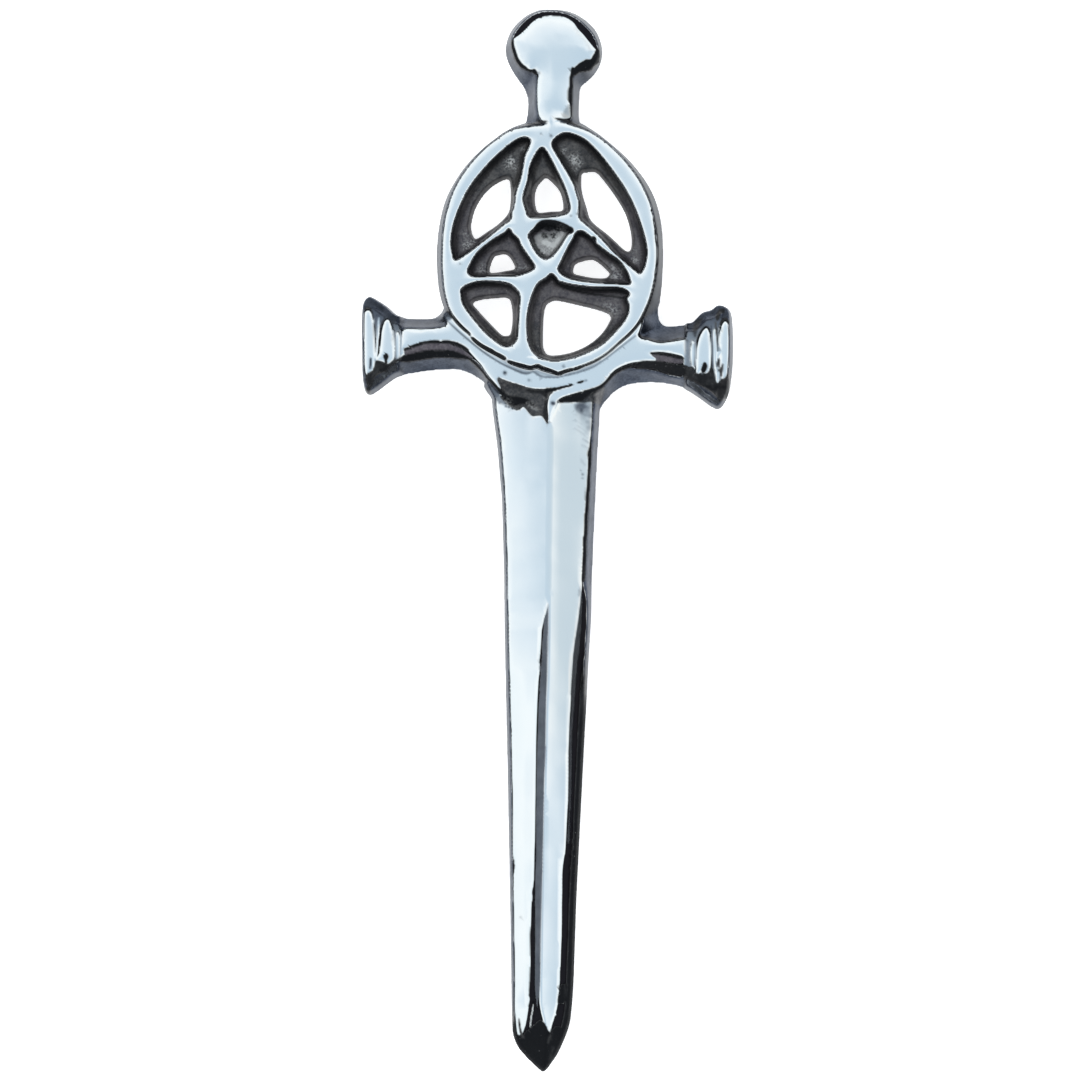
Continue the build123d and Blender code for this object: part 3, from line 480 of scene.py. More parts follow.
# name: kind, depth, strength, softness, outline
PATCHES = {
    "collar_dark": ("dark", 0.1, 1.0, 0.06, (
        (-4.67, 15.91), (-4.36, 15.73), (-3.96, 15.57), (-3.35, 15.37), (-2.74, 15.20), (-2.18, 15.03),
        (-1.62, 14.86), (-1.12, 14.76), (-0.41, 14.72), (0.20, 14.77), (0.55, 14.83), (0.76, 14.42),
        (0.51, 14.18), (0.34, 13.81), (0.22, 13.26), (0.21, 12.76), (0.28, 12.15), (0.33, 11.64),
        (0.29, 11.19), (0.12, 11.48), (-0.11, 11.84), (-0.35, 12.06), (-0.78, 12.07), (-1.22, 12.02),
        (-1.49, 12.24), (-1.74, 12.54), (-1.95, 12.80), (-2.21, 12.96), (-2.51, 12.76), (-2.91, 12.71),
        (-3.42, 12.96), (-3.83, 13.24), (-4.24, 13.64), (-4.54, 13.99), (-4.24, 14.17), (-4.35, 14.65),
        (-4.60, 15.16), (-4.81, 15.67),
    )),
    "collar_black": ("black", 0.12, 1.0, 0.09, (
        (-4.24, 14.29), (-3.74, 14.05), (-3.23, 13.99), (-2.62, 13.96), (-2.01, 13.80), (-1.40, 13.50),
        (-1.00, 13.21), (-1.30, 13.09), (-1.80, 13.21), (-2.31, 13.29), (-2.91, 13.10), (-3.42, 13.20),
        (-3.93, 13.60), (-4.34, 13.94),
    )),
    "collar_black_2": ("black", 0.05, 0.9, 0.09, (
        (-1.82, 14.71), (-1.11, 14.61), (-0.41, 14.60), (0.25, 14.58), (0.24, 14.28), (0.11, 13.91),
        (-0.10, 14.07), (-0.50, 14.31), (-1.11, 14.37), (-1.66, 14.47),
    )),
    "collar_spike": ("black", 0.05, 0.8, 0.07, (
        (-0.05, 13.46), (0.21, 13.61), (0.20, 12.76), (0.29, 11.94), (0.30, 11.28), (0.05, 11.64),
        (-0.14, 12.25), (-0.06, 12.96),
    )),
    "collar_light": ("worn", 0.0, 0.28, 0.12, (
        (-1.91, 13.39), (-1.35, 13.46), (-1.00, 13.19), (-0.73, 12.85), (-0.62, 12.55), (-0.99, 12.59),
        (-1.40, 12.81), (-1.70, 13.05),
    )),
    "collar_corner": ("bright", 0.0, 1.0, 0.04, (
        (-5.79, 16.54), (-5.43, 16.13), (-5.07, 15.73), (-4.72, 15.30), (-4.42, 14.86), (-4.66, 14.96),
        (-5.01, 15.28), (-5.42, 15.75), (-5.73, 16.17),
    )),
    "collar_right": ("black", 0.05, 1.0, 0.07, (
        (1.22, 13.44), (1.47, 13.70), (1.82, 13.87), (2.32, 14.08), (3.03, 14.31), (3.83, 14.56),
        (4.54, 14.78), (5.24, 15.01), (5.64, 15.18), (5.44, 14.87), (5.04, 14.52), (4.54, 14.20),
        (4.18, 13.91), (3.84, 13.64), (3.24, 13.50), (2.53, 13.41), (1.83, 13.41),
    )),
    "collar_shade": ("dark", 0.0, 0.9, 0.26, (
        (3.34, 13.45), (3.94, 13.65), (4.34, 14.06), (4.94, 14.47), (5.64, 15.05), (5.94, 14.95),
        (5.75, 14.24), (5.56, 13.62), (5.15, 13.46), (4.55, 13.56), (3.94, 13.45),
    )),
    "collar_left_shade": ("soft", 0.0, 1.0, 0.14, (
        (-5.82, 15.57), (-5.48, 15.31), (-5.07, 14.93), (-4.76, 14.56), (-4.55, 14.06), (-4.95, 13.85),
        (-5.46, 13.99), (-5.71, 14.66),
    )),
    "collar_left_shade_2": ("soft", 0.0, 0.8, 0.26, (
        (-5.05, 13.85), (-4.55, 14.06), (-4.14, 13.75), (-3.83, 13.45), (-3.83, 13.15), (-4.34, 13.24),
        (-4.74, 13.44),
    )),
    "collar_speck": ("grey", 0.0, 0.7, 0.07, (
        (0.62, 13.41), (0.82, 13.47), (1.08, 13.35), (0.98, 13.15), (0.72, 13.17),
    )),
    "arm_left": ("brown", 0.0, 1.0, 0.05, (
        (-14.24, 18.56), (-13.82, 18.72), (-13.22, 18.97), (-12.51, 19.18), (-11.70, 19.35), (-10.89, 19.37),
        (-10.08, 19.34), (-9.37, 19.20), (-8.66, 18.90), (-8.04, 18.53), (-7.63, 18.19), (-7.22, 17.85),
        (-7.83, 17.95), (-8.65, 18.29), (-9.46, 18.55), (-10.68, 18.64), (-11.69, 18.57), (-12.70, 18.40),
        (-13.51, 18.20), (-14.18, 18.09),
    )),
    "arm_left_low": ("black", 0.0, 1.0, 0.08, (
        (-14.42, 18.05), (-13.91, 18.19), (-13.31, 18.36), (-12.60, 18.55), (-11.89, 18.67), (-11.08, 18.74),
        (-10.27, 18.74), (-9.56, 18.65), (-8.85, 18.45), (-8.14, 18.15), (-7.73, 17.82), (-8.44, 17.84),
        (-9.05, 17.92), (-9.86, 17.97), (-10.67, 17.99), (-11.48, 17.92), (-12.29, 17.80), (-13.20, 17.61),
        (-14.01, 17.50), (-14.61, 17.50),
    )),
    "arm_right": ("brown", 0.0, 1.0, 0.05, (
        (10.80, 18.35), (11.37, 18.31), (11.97, 18.25), (12.58, 18.15), (13.18, 18.01), (13.85, 17.88),
        (13.88, 17.43), (13.29, 17.47), (12.58, 17.58), (11.88, 17.64), (11.23, 17.66), (11.21, 17.94),
        (11.00, 18.08),
    )),
    "arm_right_low": ("black", 0.0, 0.92, 0.08, (
        (9.55, 17.58), (10.56, 17.72), (11.17, 17.67), (11.87, 17.61), (12.58, 17.52), (13.29, 17.38),
        (13.96, 17.26), (14.14, 17.18), (14.11, 16.41), (13.60, 16.26), (12.90, 16.32), (12.19, 16.54),
        (11.48, 16.76), (10.77, 16.92), (10.17, 16.95), (9.56, 16.93), (9.16, 17.03),
    )),
    "left_end": ("char", 0.0, 1.0, 0.08, (
        (-18.10, 16.02), (-17.82, 16.29), (-17.46, 16.54), (-17.23, 17.05), (-17.13, 17.50), (-16.66, 17.46),
        (-16.26, 17.28), (-15.85, 17.20), (-15.49, 17.47), (-15.09, 17.67), (-14.78, 17.63), (-15.04, 17.43),
        (-15.44, 17.16), (-15.84, 16.81), (-16.24, 16.50), (-16.65, 16.30), (-17.05, 16.09), (-17.35, 15.72),
        (-17.54, 15.21), (-17.74, 14.97), (-17.99, 15.21), (-18.12, 15.72),
    )),
    # painted dark reflection over the point
    "tip_dark": ("black", 0.0, 1.0, 0.06, (
        (-2.43, -49.82), (-2.15, -50.11), (-1.85, -50.25), (-1.45, -50.17), (-1.19, -49.80), (-0.75, -49.50),
        (-0.26, -49.09), (0.24, -48.69), (0.75, -49.08), (1.01, -49.64), (1.26, -49.93), (1.45, -49.67),
        (1.71, -49.37), (2.05, -49.27), (2.55, -49.26), (3.05, -49.06), (3.16, -49.75), (2.57, -50.86),
        (1.98, -51.86), (1.39, -52.76), (0.64, -53.77), (-0.11, -53.18), (-1.02, -52.30), (-1.93, -51.31),
    )),
    "junction_left": ("soft", 0.0, 1.0, 0.08, (
        (-10.64, 22.66), (-10.14, 22.87), (-9.72, 22.40), (-9.45, 21.96), (-9.75, 21.69), (-10.12, 21.49),
        (-10.46, 21.65),
    )),
    "hilt_low_right": ("black", 0.0, 1.0, 0.06, (
        (4.83, 49.43), (5.13, 49.32), (5.10, 48.61), (4.86, 48.05), (4.50, 47.64), (4.18, 47.33),
        (3.68, 47.19), (3.23, 47.11), (2.87, 46.86), (2.51, 46.65), (2.40, 47.06), (2.50, 47.31),
        (2.81, 47.68), (3.22, 48.01), (3.48, 48.15), (3.76, 48.32), (4.03, 48.32), (4.25, 48.34),
        (4.47, 48.69), (4.65, 49.02),
    )),
    "hilt_low_left": ("black", 0.0, 1.0, 0.06, (
        (-3.65, 50.32), (-3.87, 50.11), (-3.82, 49.50), (-3.63, 48.82), (-3.36, 48.17), (-3.00, 47.64),
        (-2.51, 47.31), (-2.08, 47.13), (-1.66, 47.03), (-1.39, 46.78), (-1.15, 46.89), (-1.29, 47.17),
        (-1.50, 47.35), (-1.74, 47.23), (-2.07, 47.31), (-2.35, 47.60), (-2.66, 47.82), (-2.95, 48.19),
        (-3.18, 48.58), (-3.39, 49.21), (-3.58, 49.81),
    )),
    # painted dark reflection filling a notch on the point's right facet
    "tip_notch": ("black", 0.0, 1.0, 0.05, (
        (2.35, -45.07), (2.71, -45.27), (2.73, -46.67), (2.33, -47.07), (2.01, -46.87), (2.12, -46.07),
        (2.23, -45.47),
    )),
    "left_end_black": ("black", 0.02, 0.9, 0.09, (
        (-18.06, 16.02), (-17.76, 16.19), (-17.56, 16.17), (-17.59, 15.82), (-17.49, 15.42), (-17.64, 15.11),
        (-17.87, 15.17), (-18.04, 15.56),
    )),
    "left_end_black_2": ("black", 0.02, 0.85, 0.10, (
        (-17.17, 17.46), (-16.76, 17.40), (-16.29, 17.20), (-15.99, 17.12), (-15.69, 17.18), (-15.88, 16.71),
        (-16.10, 16.44), (-16.35, 16.71), (-16.61, 16.79), (-16.86, 16.99), (-17.11, 17.11),
    )),
    "left_end_black_3": ("black", 0.0, 0.8, 0.10, (
        (-15.06, 17.63), (-14.54, 17.94), (-14.14, 18.13), (-13.93, 17.98), (-14.33, 17.68), (-14.84, 17.51),
    )),
    "left_tip": ("black", 0.0, 0.85, 0.07, (
        (-18.24, 14.78), (-18.00, 14.86), (-17.71, 14.66), (-17.77, 14.43), (-17.99, 14.35), (-18.17, 14.51),
    )),
    "right_end": ("char", 0.0, 1.0, 0.08, (
        (13.99, 17.24), (14.40, 17.09), (14.90, 17.05), (15.21, 16.44), (15.51, 16.29), (15.87, 16.38),
        (16.22, 16.39), (16.62, 16.70), (16.87, 16.91), (17.02, 16.45), (17.23, 15.64), (17.49, 15.44),
        (17.74, 15.80), (18.19, 16.02), (18.54, 16.51), (18.61, 15.65), (18.55, 14.84), (18.36, 14.13),
        (17.96, 13.92), (17.61, 13.88), (17.25, 14.16), (16.74, 14.62), (16.13, 15.02), (15.52, 15.34),
        (14.91, 15.69), (14.41, 15.89), (14.00, 16.03),
    )),
    "right_end_black": ("black", 0.02, 0.9, 0.09, (
        (15.25, 16.44), (15.61, 16.34), (15.92, 16.36), (16.22, 16.30), (16.42, 16.00), (16.23, 15.67),
        (16.19, 15.23), (15.97, 15.12), (15.76, 15.49), (15.52, 15.79), (15.31, 16.07),
    )),
    "right_end_black_2": ("black", 0.02, 0.9, 0.09, (
        (17.34, 15.23), (17.58, 15.54), (17.78, 15.38), (18.14, 15.75), (18.48, 16.26), (18.58, 15.75),
        (18.51, 15.14), (18.15, 14.83), (17.91, 14.73), (17.69, 14.22), (17.41, 14.32), (17.30, 14.83),
    )),
    "right_end_black_3": ("black", 0.0, 0.8, 0.10, (
        (13.95, 17.14), (14.35, 17.20), (14.50, 16.84), (14.40, 16.33), (14.10, 16.19),
    )),
    "right_end_black_4": ("black", 0.0, 0.8, 0.09, (
        (16.58, 16.81), (16.86, 17.02), (16.98, 16.69), (16.87, 16.25), (16.73, 15.98), (16.56, 16.39),
    )),
    "right_tip": ("black", 0.0, 0.6, 0.08, (
        (17.57, 13.97), (17.82, 14.23), (18.16, 14.28), (18.13, 14.03), (17.88, 13.77), (17.58, 13.72),
    )),
    "right_cap": ("black", 0.0, 0.75, 0.12, (
        (17.20, 22.40), (17.36, 22.85), (17.70, 23.08), (18.02, 23.02), (17.96, 22.67), (17.60, 22.51),
        (17.52, 22.04), (17.32, 21.80), (17.16, 22.00),
    )),
    "right_cap_2": ("black", 0.0, 0.85, 0.10, (
        (17.52, 21.34), (17.72, 21.89), (18.08, 22.16), (18.42, 21.91), (18.63, 21.35), (18.38, 21.61),
        (18.06, 21.89), (17.74, 21.54), (17.58, 20.93),
    )),
    "right_shade": ("dark", 0.0, 0.55, 0.20, (
        (14.82, 20.70), (14.96, 21.52), (15.32, 21.99), (15.76, 22.07), (15.66, 21.62), (15.43, 21.11),
        (15.27, 20.50), (15.11, 20.09),
    )),
    "left_cap": ("dark", 0.0, 0.7, 0.10, (
        (-18.49, 22.62), (-18.25, 22.95), (-17.88, 22.95), (-17.62, 22.59), (-17.78, 22.65), (-18.19, 22.75),
    )),
    "left_spot": ("black", 0.05, 1.0, 0.05, (
        (-16.37, 17.91), (-16.29, 18.13), (-16.11, 18.24), (-15.94, 18.14), (-15.90, 17.86), (-16.02, 17.57),
        (-16.05, 17.26), (-16.20, 17.30), (-16.24, 17.61),
    )),
    "right_spot": ("black", 0.05, 1.0, 0.05, (
        (15.88, 17.20), (15.96, 17.50), (16.18, 17.54), (16.32, 17.25), (16.29, 16.95), (16.17, 16.67),
        (15.99, 16.55), (15.78, 16.67), (15.74, 16.97),
    )),
    # painted dark reflections of the blade's steep strips, in slate
    "stripe": ("slate", 0.0, 1.0, 0.05, (
        (0.13, -8.69), (0.42, -7.68), (0.62, -6.97), (0.68, -8.58), (0.68, -11.61), (0.62, -14.63),
        (0.57, -17.15), (0.54, -21.17), (0.46, -25.19), (0.41, -29.20), (0.36, -33.21), (0.31, -37.21),
        (0.28, -41.21), (0.25, -44.70), (0.18, -45.90), (0.07, -46.90), (-0.04, -47.70), (-0.15, -47.00),
        (-0.26, -46.21), (-0.33, -45.21), (-0.37, -41.72), (-0.42, -37.22), (-0.44, -34.72), (-0.39, -32.21),
        (-0.44, -26.70), (-0.42, -22.18), (-0.34, -18.66), (-0.26, -15.65), (-0.09, -12.62), (0.00, -10.61),
        (0.09, -9.60),
    )),
    "edge_slate": ("slate", 0.0, 0.7, 0.08, (
        (3.80, -5.31), (3.75, -6.52), (3.63, -7.73), (3.40, -9.55), (3.17, -11.16), (3.04, -13.08),
        (2.97, -15.60), (2.90, -18.11), (2.82, -20.13), (2.78, -22.64), (2.83, -26.65), (2.77, -28.86),
        (2.70, -30.87), (3.05, -30.86), (3.12, -28.66), (3.14, -25.65), (3.15, -22.64), (3.22, -19.62),
        (3.38, -16.60), (3.55, -14.08), (3.73, -12.07), (3.91, -10.05), (4.04, -8.03), (4.07, -6.31),
    )),
    "dull_patch": ("smudge", 0.0, 1.0, 0.41, (
        (3.04, 13.19), (3.85, 13.44), (4.75, 13.45), (5.56, 13.25), (5.48, 12.09), (4.77, 11.78),
        (4.06, 12.04), (3.35, 12.48),
    )),
    "dull_patch_2": ("smudge", 0.0, 0.5, 0.71, (
        (3.24, 13.29), (4.35, 13.61), (5.36, 13.41), (5.28, 11.28), (4.89, 10.06), (4.28, 10.66),
        (3.56, 11.88),
    )),
    "hilt_scuff": ("pale", 0.0, 0.26, 0.22, (
        (1.60, 42.97), (1.86, 43.44), (2.16, 43.72), (2.40, 43.48), (2.46, 42.40), (2.01, 42.25),
        (1.56, 42.37), (1.44, 42.66),
    )),
    "hilt_chip": ("soft", 0.0, 0.55, 0.09, (
        (-1.54, 47.29), (-1.25, 47.19), (-1.03, 46.84), (-1.10, 46.48), (-1.29, 46.54), (-1.43, 46.90),
    )),
    "knot_chip": ("black", 0.2, 1.0, 0.05, (
        (4.41, 29.94), (4.57, 30.21), (4.82, 30.29), (4.96, 30.00), (4.84, 29.68), (4.64, 29.64),
    )),
    "knot_chip_2": ("black", 0.2, 1.0, 0.05, (
        (0.35, 26.09), (0.35, 26.37), (0.55, 26.48), (0.84, 26.25), (1.08, 25.89), (0.88, 25.75),
        (0.54, 25.85),
    )),
    "knot_chip_3": ("black", 0.2, 1.0, 0.05, (
        (2.89, 30.44), (3.05, 30.75), (3.39, 30.85), (3.76, 30.75), (4.02, 30.45), (4.23, 30.18),
        (3.97, 30.14), (3.56, 30.32), (3.22, 30.28), (3.00, 30.14),
    )),
    # painted shade along the centre cell's upper edge
    "cell_c_top": ("black", 0.0, 1.0, 0.07, (
        (-1.27, 31.15), (-0.87, 31.70), (-0.36, 31.95), (0.45, 31.97), (1.26, 31.81), (2.08, 31.45),
        (2.65, 31.11), (2.59, 30.86), (1.98, 30.98), (1.47, 31.14), (1.07, 30.93), (0.56, 31.09),
        (0.16, 30.93), (-0.35, 31.15), (-0.76, 30.99), (-1.16, 30.82),
    )),
    "cell_c_ash": ("pale_and_glint", 0.0, 0.26, 0.16, (
        (-1.46, 30.27), (-0.75, 30.68), (0.26, 30.48), (1.28, 30.79), (2.09, 30.80), (1.59, 29.87),
        (0.99, 29.05), (0.39, 28.44), (-0.32, 28.33), (-1.03, 28.94), (-1.55, 29.76),
    )),
    "cell_c_pale": ("pale_and_glint", 0.0, 0.62, 0.07, (
        (-0.64, 29.82), (-0.24, 30.11), (0.17, 29.93), (0.58, 29.83), (0.92, 30.22), (1.28, 30.49),
        (1.58, 30.73), (1.95, 30.63), (1.69, 30.18), (1.33, 29.77), (0.99, 29.36), (0.54, 29.22),
        (0.18, 29.42), (-0.23, 29.54),
    )),
    "cell_c_spot": ("black", 0.0, 0.9, 0.06, (
        (-0.65, 30.68), (-0.25, 30.83), (0.06, 30.58), (-0.04, 30.27), (-0.44, 30.31),
    )),
    "cell_c_spot_2": ("black", 0.0, 0.9, 0.06, (
        (0.30, 30.62), (0.56, 30.83), (0.83, 30.63), (0.77, 30.22), (0.47, 30.28),
    )),
    "cell_c_low": ("black", 0.0, 0.7, 0.07, (
        (-1.66, 30.47), (-1.46, 30.47), (-1.04, 29.55), (-0.53, 28.88), (-0.12, 28.56), (-0.28, 28.29),
        (-0.77, 28.64), (-1.34, 29.35),
    )),
}
# x, y, radius, depth, paint
PITS = (
    (-4.06, 16.36, 0.16, 0.1, 0.8),
    (-1.62, 15.63, 0.13, 0.05, 0.35),
    (1.85, 17.08, 0.12, 0.06, 0.5),
    (0.30, 40.54, 0.14, 0.06, 0.4),
    (-0.72, 40.74, 0.1, 0.05, 0.3),
    (0.83, 13.30, 0.2, 0.06, 0.55),
    (-3.92, 13.37, 0.13, 0.14, 1),
    (-3.46, 13.47, 0.12, 0.12, 1),
    (-3.91, 13.01, 0.1, 0.1, 0.8),
    (-3.61, 12.93, 0.1, 0.12, 0.9),
    (-3.25, 12.83, 0.13, 0.12, 1),
    (-2.90, 12.83, 0.15, 0.15, 1),
    (-3.11, 13.24, 0.1, 0.1, 0.6),
    (-2.60, 13.17, 0.12, 0.12, 1),
    (-4.57, 13.36, 0.1, 0.08, 0.5),
    (-2.60, 12.82, 0.1, 0.1, 0.8),
    (3.89, 6.17, 0.1, 0.05, 0.45),
    (3.90, 5.77, 0.08, 0.04, 0.35),
    (3.69, 6.53, 0.08, 0.04, 0.3),
    (-10.52, 19.32, 0.1, 0.05, 0.0),
    (-8.76, 27.43, 0.1, 0.04, 0.3),
    (2.42, 32.38, 0.1, 0.05, 0.35),
    (3.03, 32.58, 0.1, 0.05, 0.4),
    (7.64, 27.51, 0.1, 0.04, 0.3),
    (-0.50, 39.21, 0.12, 0.25, 1.0),
    (-1.85, -38.44, 0.12, 0.03, 0.15),
    (-1.00, 46.93, 0.14, 0.07, 0.35),
    (-1.35, 47.13, 0.12, 0.06, 0.0),
)
# width, depth, paint, course
SCRATCHES = (
    (0.07, 0.0, 0.32, ((3.07, 11.65), (3.68, 11.30), (4.19, 10.95),)),
    (0.07, 0.0, 0.32, ((3.38, 11.04), (3.99, 10.69), (4.50, 10.24),)),
    (0.07, 0.0, 0.28, ((3.08, 10.79), (3.79, 10.34), (4.40, 9.83),)),
    (0.07, 0.0, 0.45, ((3.90, 9.73), (4.30, 9.48), (4.61, 9.23),)),
    (0.07, 0.0, 0.35, ((3.80, 9.12), (4.21, 8.92), (4.62, 8.62),)),
    (0.07, 0.0, 0.25, ((3.72, 7.70), (3.93, 7.35), (4.13, 7.10),)),
    (0.07, 0.0, 0.45, ((3.85, -5.14), (3.73, -5.54), (3.66, -6.05),)),
    (0.07, 0.0, 0.3, ((4.09, 10.44), (4.50, 10.04), (4.76, 9.63),)),
    (0.07, 0.0, 0.22, ((3.16, 12.16), (3.87, 11.65), (4.59, 11.20),)),
    (0.07, 0.0, 0.2, ((2.68, 51.57), (3.01, 51.01), (3.42, 50.50), (3.94, 49.88), (4.20, 49.17),)),
)
# x, y, radius, strength
WORN = (
    (-3.79, 38.13, 0.55, 1.0),
    (-4.19, 37.67, 0.35, 0.7),
    (-3.27, 37.42, 0.35, 0.55),
    (-2.48, 39.37, 0.3, 0.5),
    (-8.15, 29.52, 0.5, 0.75),
    (-7.64, 29.83, 0.35, 0.6),
    (-8.26, 30.64, 0.4, 0.35),
    (1.48, 39.28, 0.35, 0.7),
    (2.61, 38.36, 0.55, 0.9),
    (3.12, 37.96, 0.35, 0.7),
    (2.20, 38.57, 0.3, 0.5),
    (2.72, 37.44, 0.35, 0.45),
    (8.85, 28.08, 0.35, 0.75),
    (8.69, 29.09, 0.35, 0.4),
    (0.17, 29.56, 0.95, 1.0),
    (0.88, 30.28, 0.6, 0.8),
    (-0.22, 28.95, 0.7, 0.8),
    (-0.94, 29.66, 0.5, 0.5),
    (1.38, 30.89, 0.4, 0.6),
    (6.63, 23.07, 0.6, 0.6),
    (6.02, 23.37, 0.4, 0.4),
    (-6.59, 27.07, 0.55, 0.5),
    (-3.14, 27.30, 0.5, 0.45),
    (-2.13, 27.20, 0.4, 0.45),
    (7.00, 26.54, 0.6, 0.6),
    (6.58, 27.35, 0.4, 0.5),
    (7.40, 27.05, 0.4, 0.4),
    (-3.98, 13.34, 0.5, 0.35),
    (-1.35, 13.25, 0.3, 0.3),
)
# y, left break x, ridge x, right break x
FACETS = (
    (15.69, 0.44, 0.46, 4.73),
    (11.23, 0.49, 0.51, 4.78),
    (5.55, 0.57, 0.59, 4.55),
    (-0.52, 0.61, 0.64, 4.16),
    (-4.56, 0.59, 0.63, 4.00),
    (-5.57, 0.61, 0.65, 3.87),
    (-6.58, 0.56, 0.64, 3.76),
    (-7.79, 0.35, 0.65, 3.65),
    (-8.59, 0.13, 0.66, 3.56),
    (-9.60, -0.11, 0.67, 3.43),
    (-10.61, -0.14, 0.67, 3.27),
    (-12.12, -0.18, 0.68, 3.10),
    (-13.63, -0.26, 0.66, 3.02),
    (-14.64, -0.35, 0.64, 2.97),
    (-16.65, -0.43, 0.58, 2.89),
    (-19.67, -0.49, 0.55, 2.78),
    (-21.68, -0.51, 0.52, 2.73),
    (-24.69, -0.53, 0.47, 2.74),
    (-26.70, -0.52, 0.42, 2.74),
    (-29.20, -0.52, 0.40, 2.64),
    (-30.71, -0.52, 0.38, 2.60),
    (-31.91, -0.54, 0.38, 2.51),
    (-32.91, -0.55, 0.38, 2.34),
    (-33.91, -0.56, 0.37, 2.27),
    (-34.91, -0.56, 0.35, 2.26),
    (-35.71, -0.74, 0.34, 2.27),
    (-37.71, -0.81, 0.32, 2.26),
    (-40.21, -0.84, 0.31, 2.27),
    (-42.71, -0.81, 0.30, 2.22),
    (-44.71, -0.83, 0.28, 2.16),
    (-45.90, -0.87, 0.26, 2.04),
    (-46.90, -0.93, 0.28, 1.95),
    (-47.70, -0.99, 0.40, 1.83),
    (-48.49, -1.10, 0.61, 1.61),
    (-49.29, -1.26, 0.77, 1.38),
    (-49.98, -1.52, 0.89, 1.24),
    (-50.68, -1.96, 0.90, 1.05),
    (-51.38, -1.60, 0.85, 0.95),
    (-52.27, -0.99, 0.76, 0.86),
    (-53.47, 0.33, 0.68, 0.78),
)

# ============================================================================
# shaping helpers
# ============================================================================
X0, X1, Y0, Y1 = -19.4, 19.4, -54.5, 54.5
NX, NY = int(round((X1 - X0) / STEP)) + 1, int(round((Y1 - Y0) / STEP)) + 1
GX = (X0 + STEP * np.arange(NX)).astype(np.float32)
GY = (Y0 + STEP * np.arange(NY)).astype(np.float32)


def curve(points, closed=True, n=5):
    """A smooth curve through the points (Catmull-Rom)."""
    p = np.array(points, dtype=np.float64)
    if closed:
        a, b, c, d = np.roll(p, 1, 0), p, np.roll(p, -1, 0), np.roll(p, -2, 0)
    else:
        e = np.vstack([2 * p[0] - p[1], p, 2 * p[-1] - p[-2]])
        a, b, c, d = e[:-3], e[1:-2], e[2:-1], e[3:]
    out = []
    for t in np.arange(n) / n:
        out.append(0.5 * (2 * b + (c - a) * t + (2 * a - 5 * b + 4 * c - d) * t * t + (3 * b - a - 3 * c + d) * t ** 3))
    q = np.stack(out, 1).reshape(-1, p.shape[1])
    return q if closed else np.vstack([q, p[-1:]])


def distance(points, closed=True, reach=3.0, n=5):
    """Signed distance from a smooth outline (negative inside), or plain distance from an open one."""
    q = curve(points, closed, n)
    i0 = max(0, int((q[:, 0].min() - reach - X0) / STEP))
    i1 = min(NX, int((q[:, 0].max() + reach - X0) / STEP) + 2)
    j0 = max(0, int((q[:, 1].min() - reach - Y0) / STEP))
    j1 = min(NY, int((q[:, 1].max() + reach - Y0) / STEP) + 2)
    x, y = np.meshgrid(GX[i0:i1], GY[j0:j1])
    best = np.full(x.shape, 1e9, np.float32)
    inside = np.zeros(x.shape, bool)
    r = np.roll(q, -1, 0) if closed else q[1:]
    for (ax, ay), (bx, by) in zip(q, r):
        dx, dy = bx - ax, by - ay
        ll = dx * dx + dy * dy
        if ll < 1e-12:
            continue
        t = np.clip(((x - ax) * dx + (y - ay) * dy) / ll, 0, 1)
        ex, ey = x - ax - t * dx, y - ay - t * dy
        np.minimum(best, ex * ex + ey * ey, out=best)
        if closed:
            cross = (ay > y) != (by > y)
            inside ^= cross & (x < ax + (y - ay) * dx / (dy if abs(dy) > 1e-12 else 1e-12))
    best = np.sqrt(best)
    if closed:
        best = np.where(inside, -best, best)
    full = np.full((NY, NX), reach, np.float32)
    full[j0:j1, i0:i1] = np.minimum(best, reach)
    return full


def ribbon(course):
    """Distance from a course of x, y and half width, less that half width."""
    q = curve(course, False, 4)
    i0 = max(0, int((q[:, 0].min() - 1 - X0) / STEP))
    i1 = min(NX, int((q[:, 0].max() + 1 - X0) / STEP) + 2)
    j0 = max(0, int((q[:, 1].min() - 1 - Y0) / STEP))
    j1 = min(NY, int((q[:, 1].max() + 1 - Y0) / STEP) + 2)
    x, y = np.meshgrid(GX[i0:i1], GY[j0:j1])
    best = np.full(x.shape, 1.0, np.float32)
    for (ax, ay, aw), (bx, by, bw) in zip(q, q[1:]):
        dx, dy = bx - ax, by - ay
        ll = max(dx * dx + dy * dy, 1e-9)
        t = np.clip(((x - ax) * dx + (y - ay) * dy) / ll, 0, 1)
        np.minimum(best, np.hypot(x - ax - t * dx, y - ay - t * dy) - aw - t * (bw - aw), out=best)
    full = np.full((NY, NX), 1.0, np.float32)
    full[j0:j1, i0:i1] = best
    return full


def blur(a, sigma):
    """Gaussian blur, sigma in grid steps."""
    k = int(math.ceil(3 * sigma))
    w = np.exp(-0.5 * (np.arange(-k, k + 1) / sigma) ** 2)
    w /= w.sum()
    for axis in (0, 1):
        pad = [(0, 0), (0, 0)]
        pad[axis] = (k, k)
        b = np.pad(a, pad, mode="edge")
        a = sum(w[i] * (b[i:i + a.shape[0]] if axis == 0 else b[:, i:i + a.shape[1]]) for i in range(2 * k + 1))
    return a.astype(np.float32)


